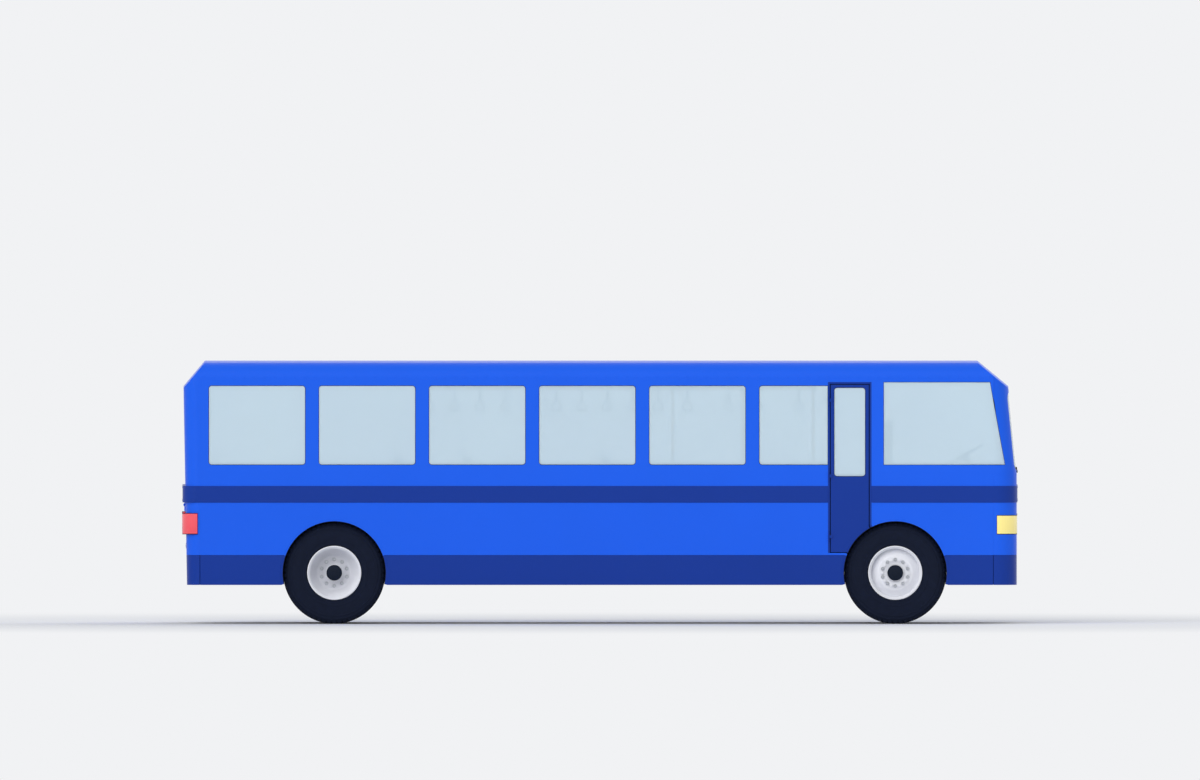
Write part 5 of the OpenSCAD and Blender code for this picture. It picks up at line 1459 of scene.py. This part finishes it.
def places(mesh):
    """The points of a mesh, a row each."""
    flat_list = np.empty(len(mesh.vertices) * 3)
    mesh.vertices.foreach_get("co", flat_list)
    return flat_list.reshape(-1, 3)


def inflated(mesh, rest, flat, voxel, frames=20):
    """The points of a closed mesh blown up as cloth, held where it rests."""
    piece = add_object("inflated", mesh.copy())
    held = piece.vertex_groups.new(name="held")
    held.add([int(i) for i in np.nonzero(rest[:, flat] < voxel * 0.6)[0]], 1.0, "REPLACE")
    cloth = piece.modifiers.new("Cloth", "CLOTH")
    for name, value in {"quality": 5, "mass": 0.3, "tension_stiffness": 15, "compression_stiffness": 15,
                        "shear_stiffness": 5, "bending_stiffness": 2, "use_pressure": True,
                        "uniform_pressure_force": 4, "vertex_group_mass": "held"}.items():
        setattr(cloth.settings, name, value)
    cloth.settings.effector_weights.gravity = 0
    cloth.collision_settings.use_self_collision = False
    cloth.point_cache.frame_start = 1
    cloth.point_cache.frame_end = frames
    scene = bpy.context.scene
    for frame_number in range(1, frames + 1):
        scene.frame_set(frame_number)
    result = places(piece.evaluated_get(bpy.context.evaluated_depsgraph_get()).data)
    bpy.data.objects.remove(piece)
    scene.frame_set(1)
    return result


class COACH_OT_cab(CoachOperator, bpy.types.Operator):
    """Fit out the driver's place: seat, dashboard, gauges and steering wheel"""
    bl_idname = "coach.cab"
    bl_label = "Cab"

    # Bellows under the driver's seat: folds, and the heights between which they stand
    FOLDS, FOLDS_LOW, FOLDS_HIGH = 6, 0.020, 0.246
    # The gauges: distance across from the steering wheel's middle, and radius
    GAUGES = ((-0.115, 0.036), (0.0, 0.046), (0.115, 0.036))

    def execute(self, context):
        self.seat()
        dress("dashboard", "cab_plastic", 0.012)
        dress("steering_wheel", "cab_plastic")
        self.gauges()
        return {"FINISHED"}

    def seat(self):
        low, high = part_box("driver_seat")
        x, y, foot = low.x + 0.330, (low.y + high.y) / 2, low.z
        rings = [(POLE_R, 0.0), (0.150, 0.0), (0.150, 0.012), (0.135, 0.020)]
        for i in range(self.FOLDS):
            z = self.FOLDS_LOW + (self.FOLDS_HIGH - self.FOLDS_LOW) * i / self.FOLDS
            rings += [(0.100, z + 0.004), (0.112, z + 0.019), (0.100, z + 0.034)]
        rings += [(0.095, 0.250), (0.130, 0.256), (0.130, 0.262), (POLE_R, 0.262)]
        fit("driver_seat_base", [
            moved(lathe(rings), shifted(x, y, foot), turned(90, "X")),
            slab((x - 0.228, y - 0.228, foot + 0.258), (x + 0.228, y + 0.228, foot + 0.300), 0.012, 2),
            slab((low.x + 0.001, y - 0.205, foot + 0.300), (low.x + 0.030, y + 0.205, high.z - 0.03), 0.012, 2),
        ], "coach", "cab_plastic", 30)
        pads = [moved(padding(size, 0.013, 0.012, flat), shifted(corner_x, y - 0.220, foot + up))
                for corner_x, up, size, flat in ((x - 0.225, 0.300, (0.460, 0.440, 0.110), 2),
                                                 (low.x + 0.028, 0.412, (0.077, 0.440, 0.648), 0))]
        cushions = fit("driver_seat_pads", pads, "coach", "driver_fabric", 60,
                       replaces=("driver_seat",))

    def gauges(self):
        """Three round gauges with plain rings, dials and needles in a hooded binnacle."""
        wheel_low, wheel_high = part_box("steering_wheel")
        dash_low, dash_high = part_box("dashboard")
        x, y, z = dash_low.x + 0.150, (wheel_low.y + wheel_high.y) / 2, dash_high.z
        hood = slab((x - 0.02, y - 0.20, z - 0.002), (x + 0.13, y + 0.20, z + 0.115), 0.02, 3)
        for vertex in hood.vertices:
            if vertex.co.x > x + 0.06:
                vertex.co.z = z + (vertex.co.z - z) * 0.55
        fit("binnacle", [hood], "coach", "cab_plastic", 35)
        rings, dials, marks = [], [], []
        for offset, radius in self.GAUGES:
            place = (shifted(x - 0.020, y + offset, z + 0.056), turned(90, "Z"))
            rings.append(moved(lathe([(radius, -0.002), (radius + 0.005, -0.002), (radius + 0.004, 0.006),
                                      (radius, 0.006)]), *place))
            dials.append(moved(lathe([(POLE_R, -0.001), (radius, -0.001), (radius, 0.001), (POLE_R, 0.001)]),
                               *place))
            tick = slab((-0.0009, 0.001, radius * 0.78), (0.0009, 0.0022, radius * 0.94))
            needle = slab((-0.0012, 0.002, -0.006), (0.0012, 0.0035, radius * 0.74))
            marks += [moved(grown("ring", tick, "plate", Count=12, Centre=(0, 0, 0)), *place),
                      moved(needle, *place, turned(-55 + 60 * offset, "Y"))]
        for name, meshes, look in (("gauge_rings", rings, "bright_steel"), ("gauge_dials", dials, "black_rubber"),
                                   ("gauge_marks", marks, "plate")):
            fit(name, meshes, "coach", look, 30)


class COACH_PT_panel(bpy.types.Panel):
    """Lists the pieces of the bus"""
    bl_label = "Apron bus"
    bl_idname = "COACH_PT_panel"
    bl_space_type = "VIEW_3D"
    bl_region_type = "UI"
    bl_category = "Apron bus"

    def draw(self, context):
        for group in (context.scene.coach_colours, context.scene.coach_sizes):
            box = self.layout.box()
            for key in group.__annotations__:
                box.prop(group, key)
        for operator in STEPS:
            self.layout.operator(operator.bl_idname)


STEPS = (COACH_OT_stage, COACH_OT_shell, COACH_OT_rivets, COACH_OT_glass, COACH_OT_lamps, COACH_OT_seals,
         COACH_OT_wheels, COACH_OT_running_gear, COACH_OT_engine_lid, COACH_OT_saloon, COACH_OT_seats, COACH_OT_cab)
GROUPS = (CoachColours, CoachSizes)


def register():
    for item in GROUPS + STEPS + (COACH_PT_panel,):
        bpy.utils.register_class(item)
    bpy.types.Scene.coach_colours = bpy.props.PointerProperty(type=CoachColours)
    bpy.types.Scene.coach_sizes = bpy.props.PointerProperty(type=CoachSizes)


def unregister():
    del bpy.types.Scene.coach_sizes
    del bpy.types.Scene.coach_colours
    for item in reversed(GROUPS + STEPS + (COACH_PT_panel,)):
        bpy.utils.unregister_class(item)


def main():
    register()
    for operator in STEPS:
        family, name = operator.bl_idname.split(".")
        getattr(getattr(bpy.ops, family), name)()


if __name__ == "__main__":
    main()
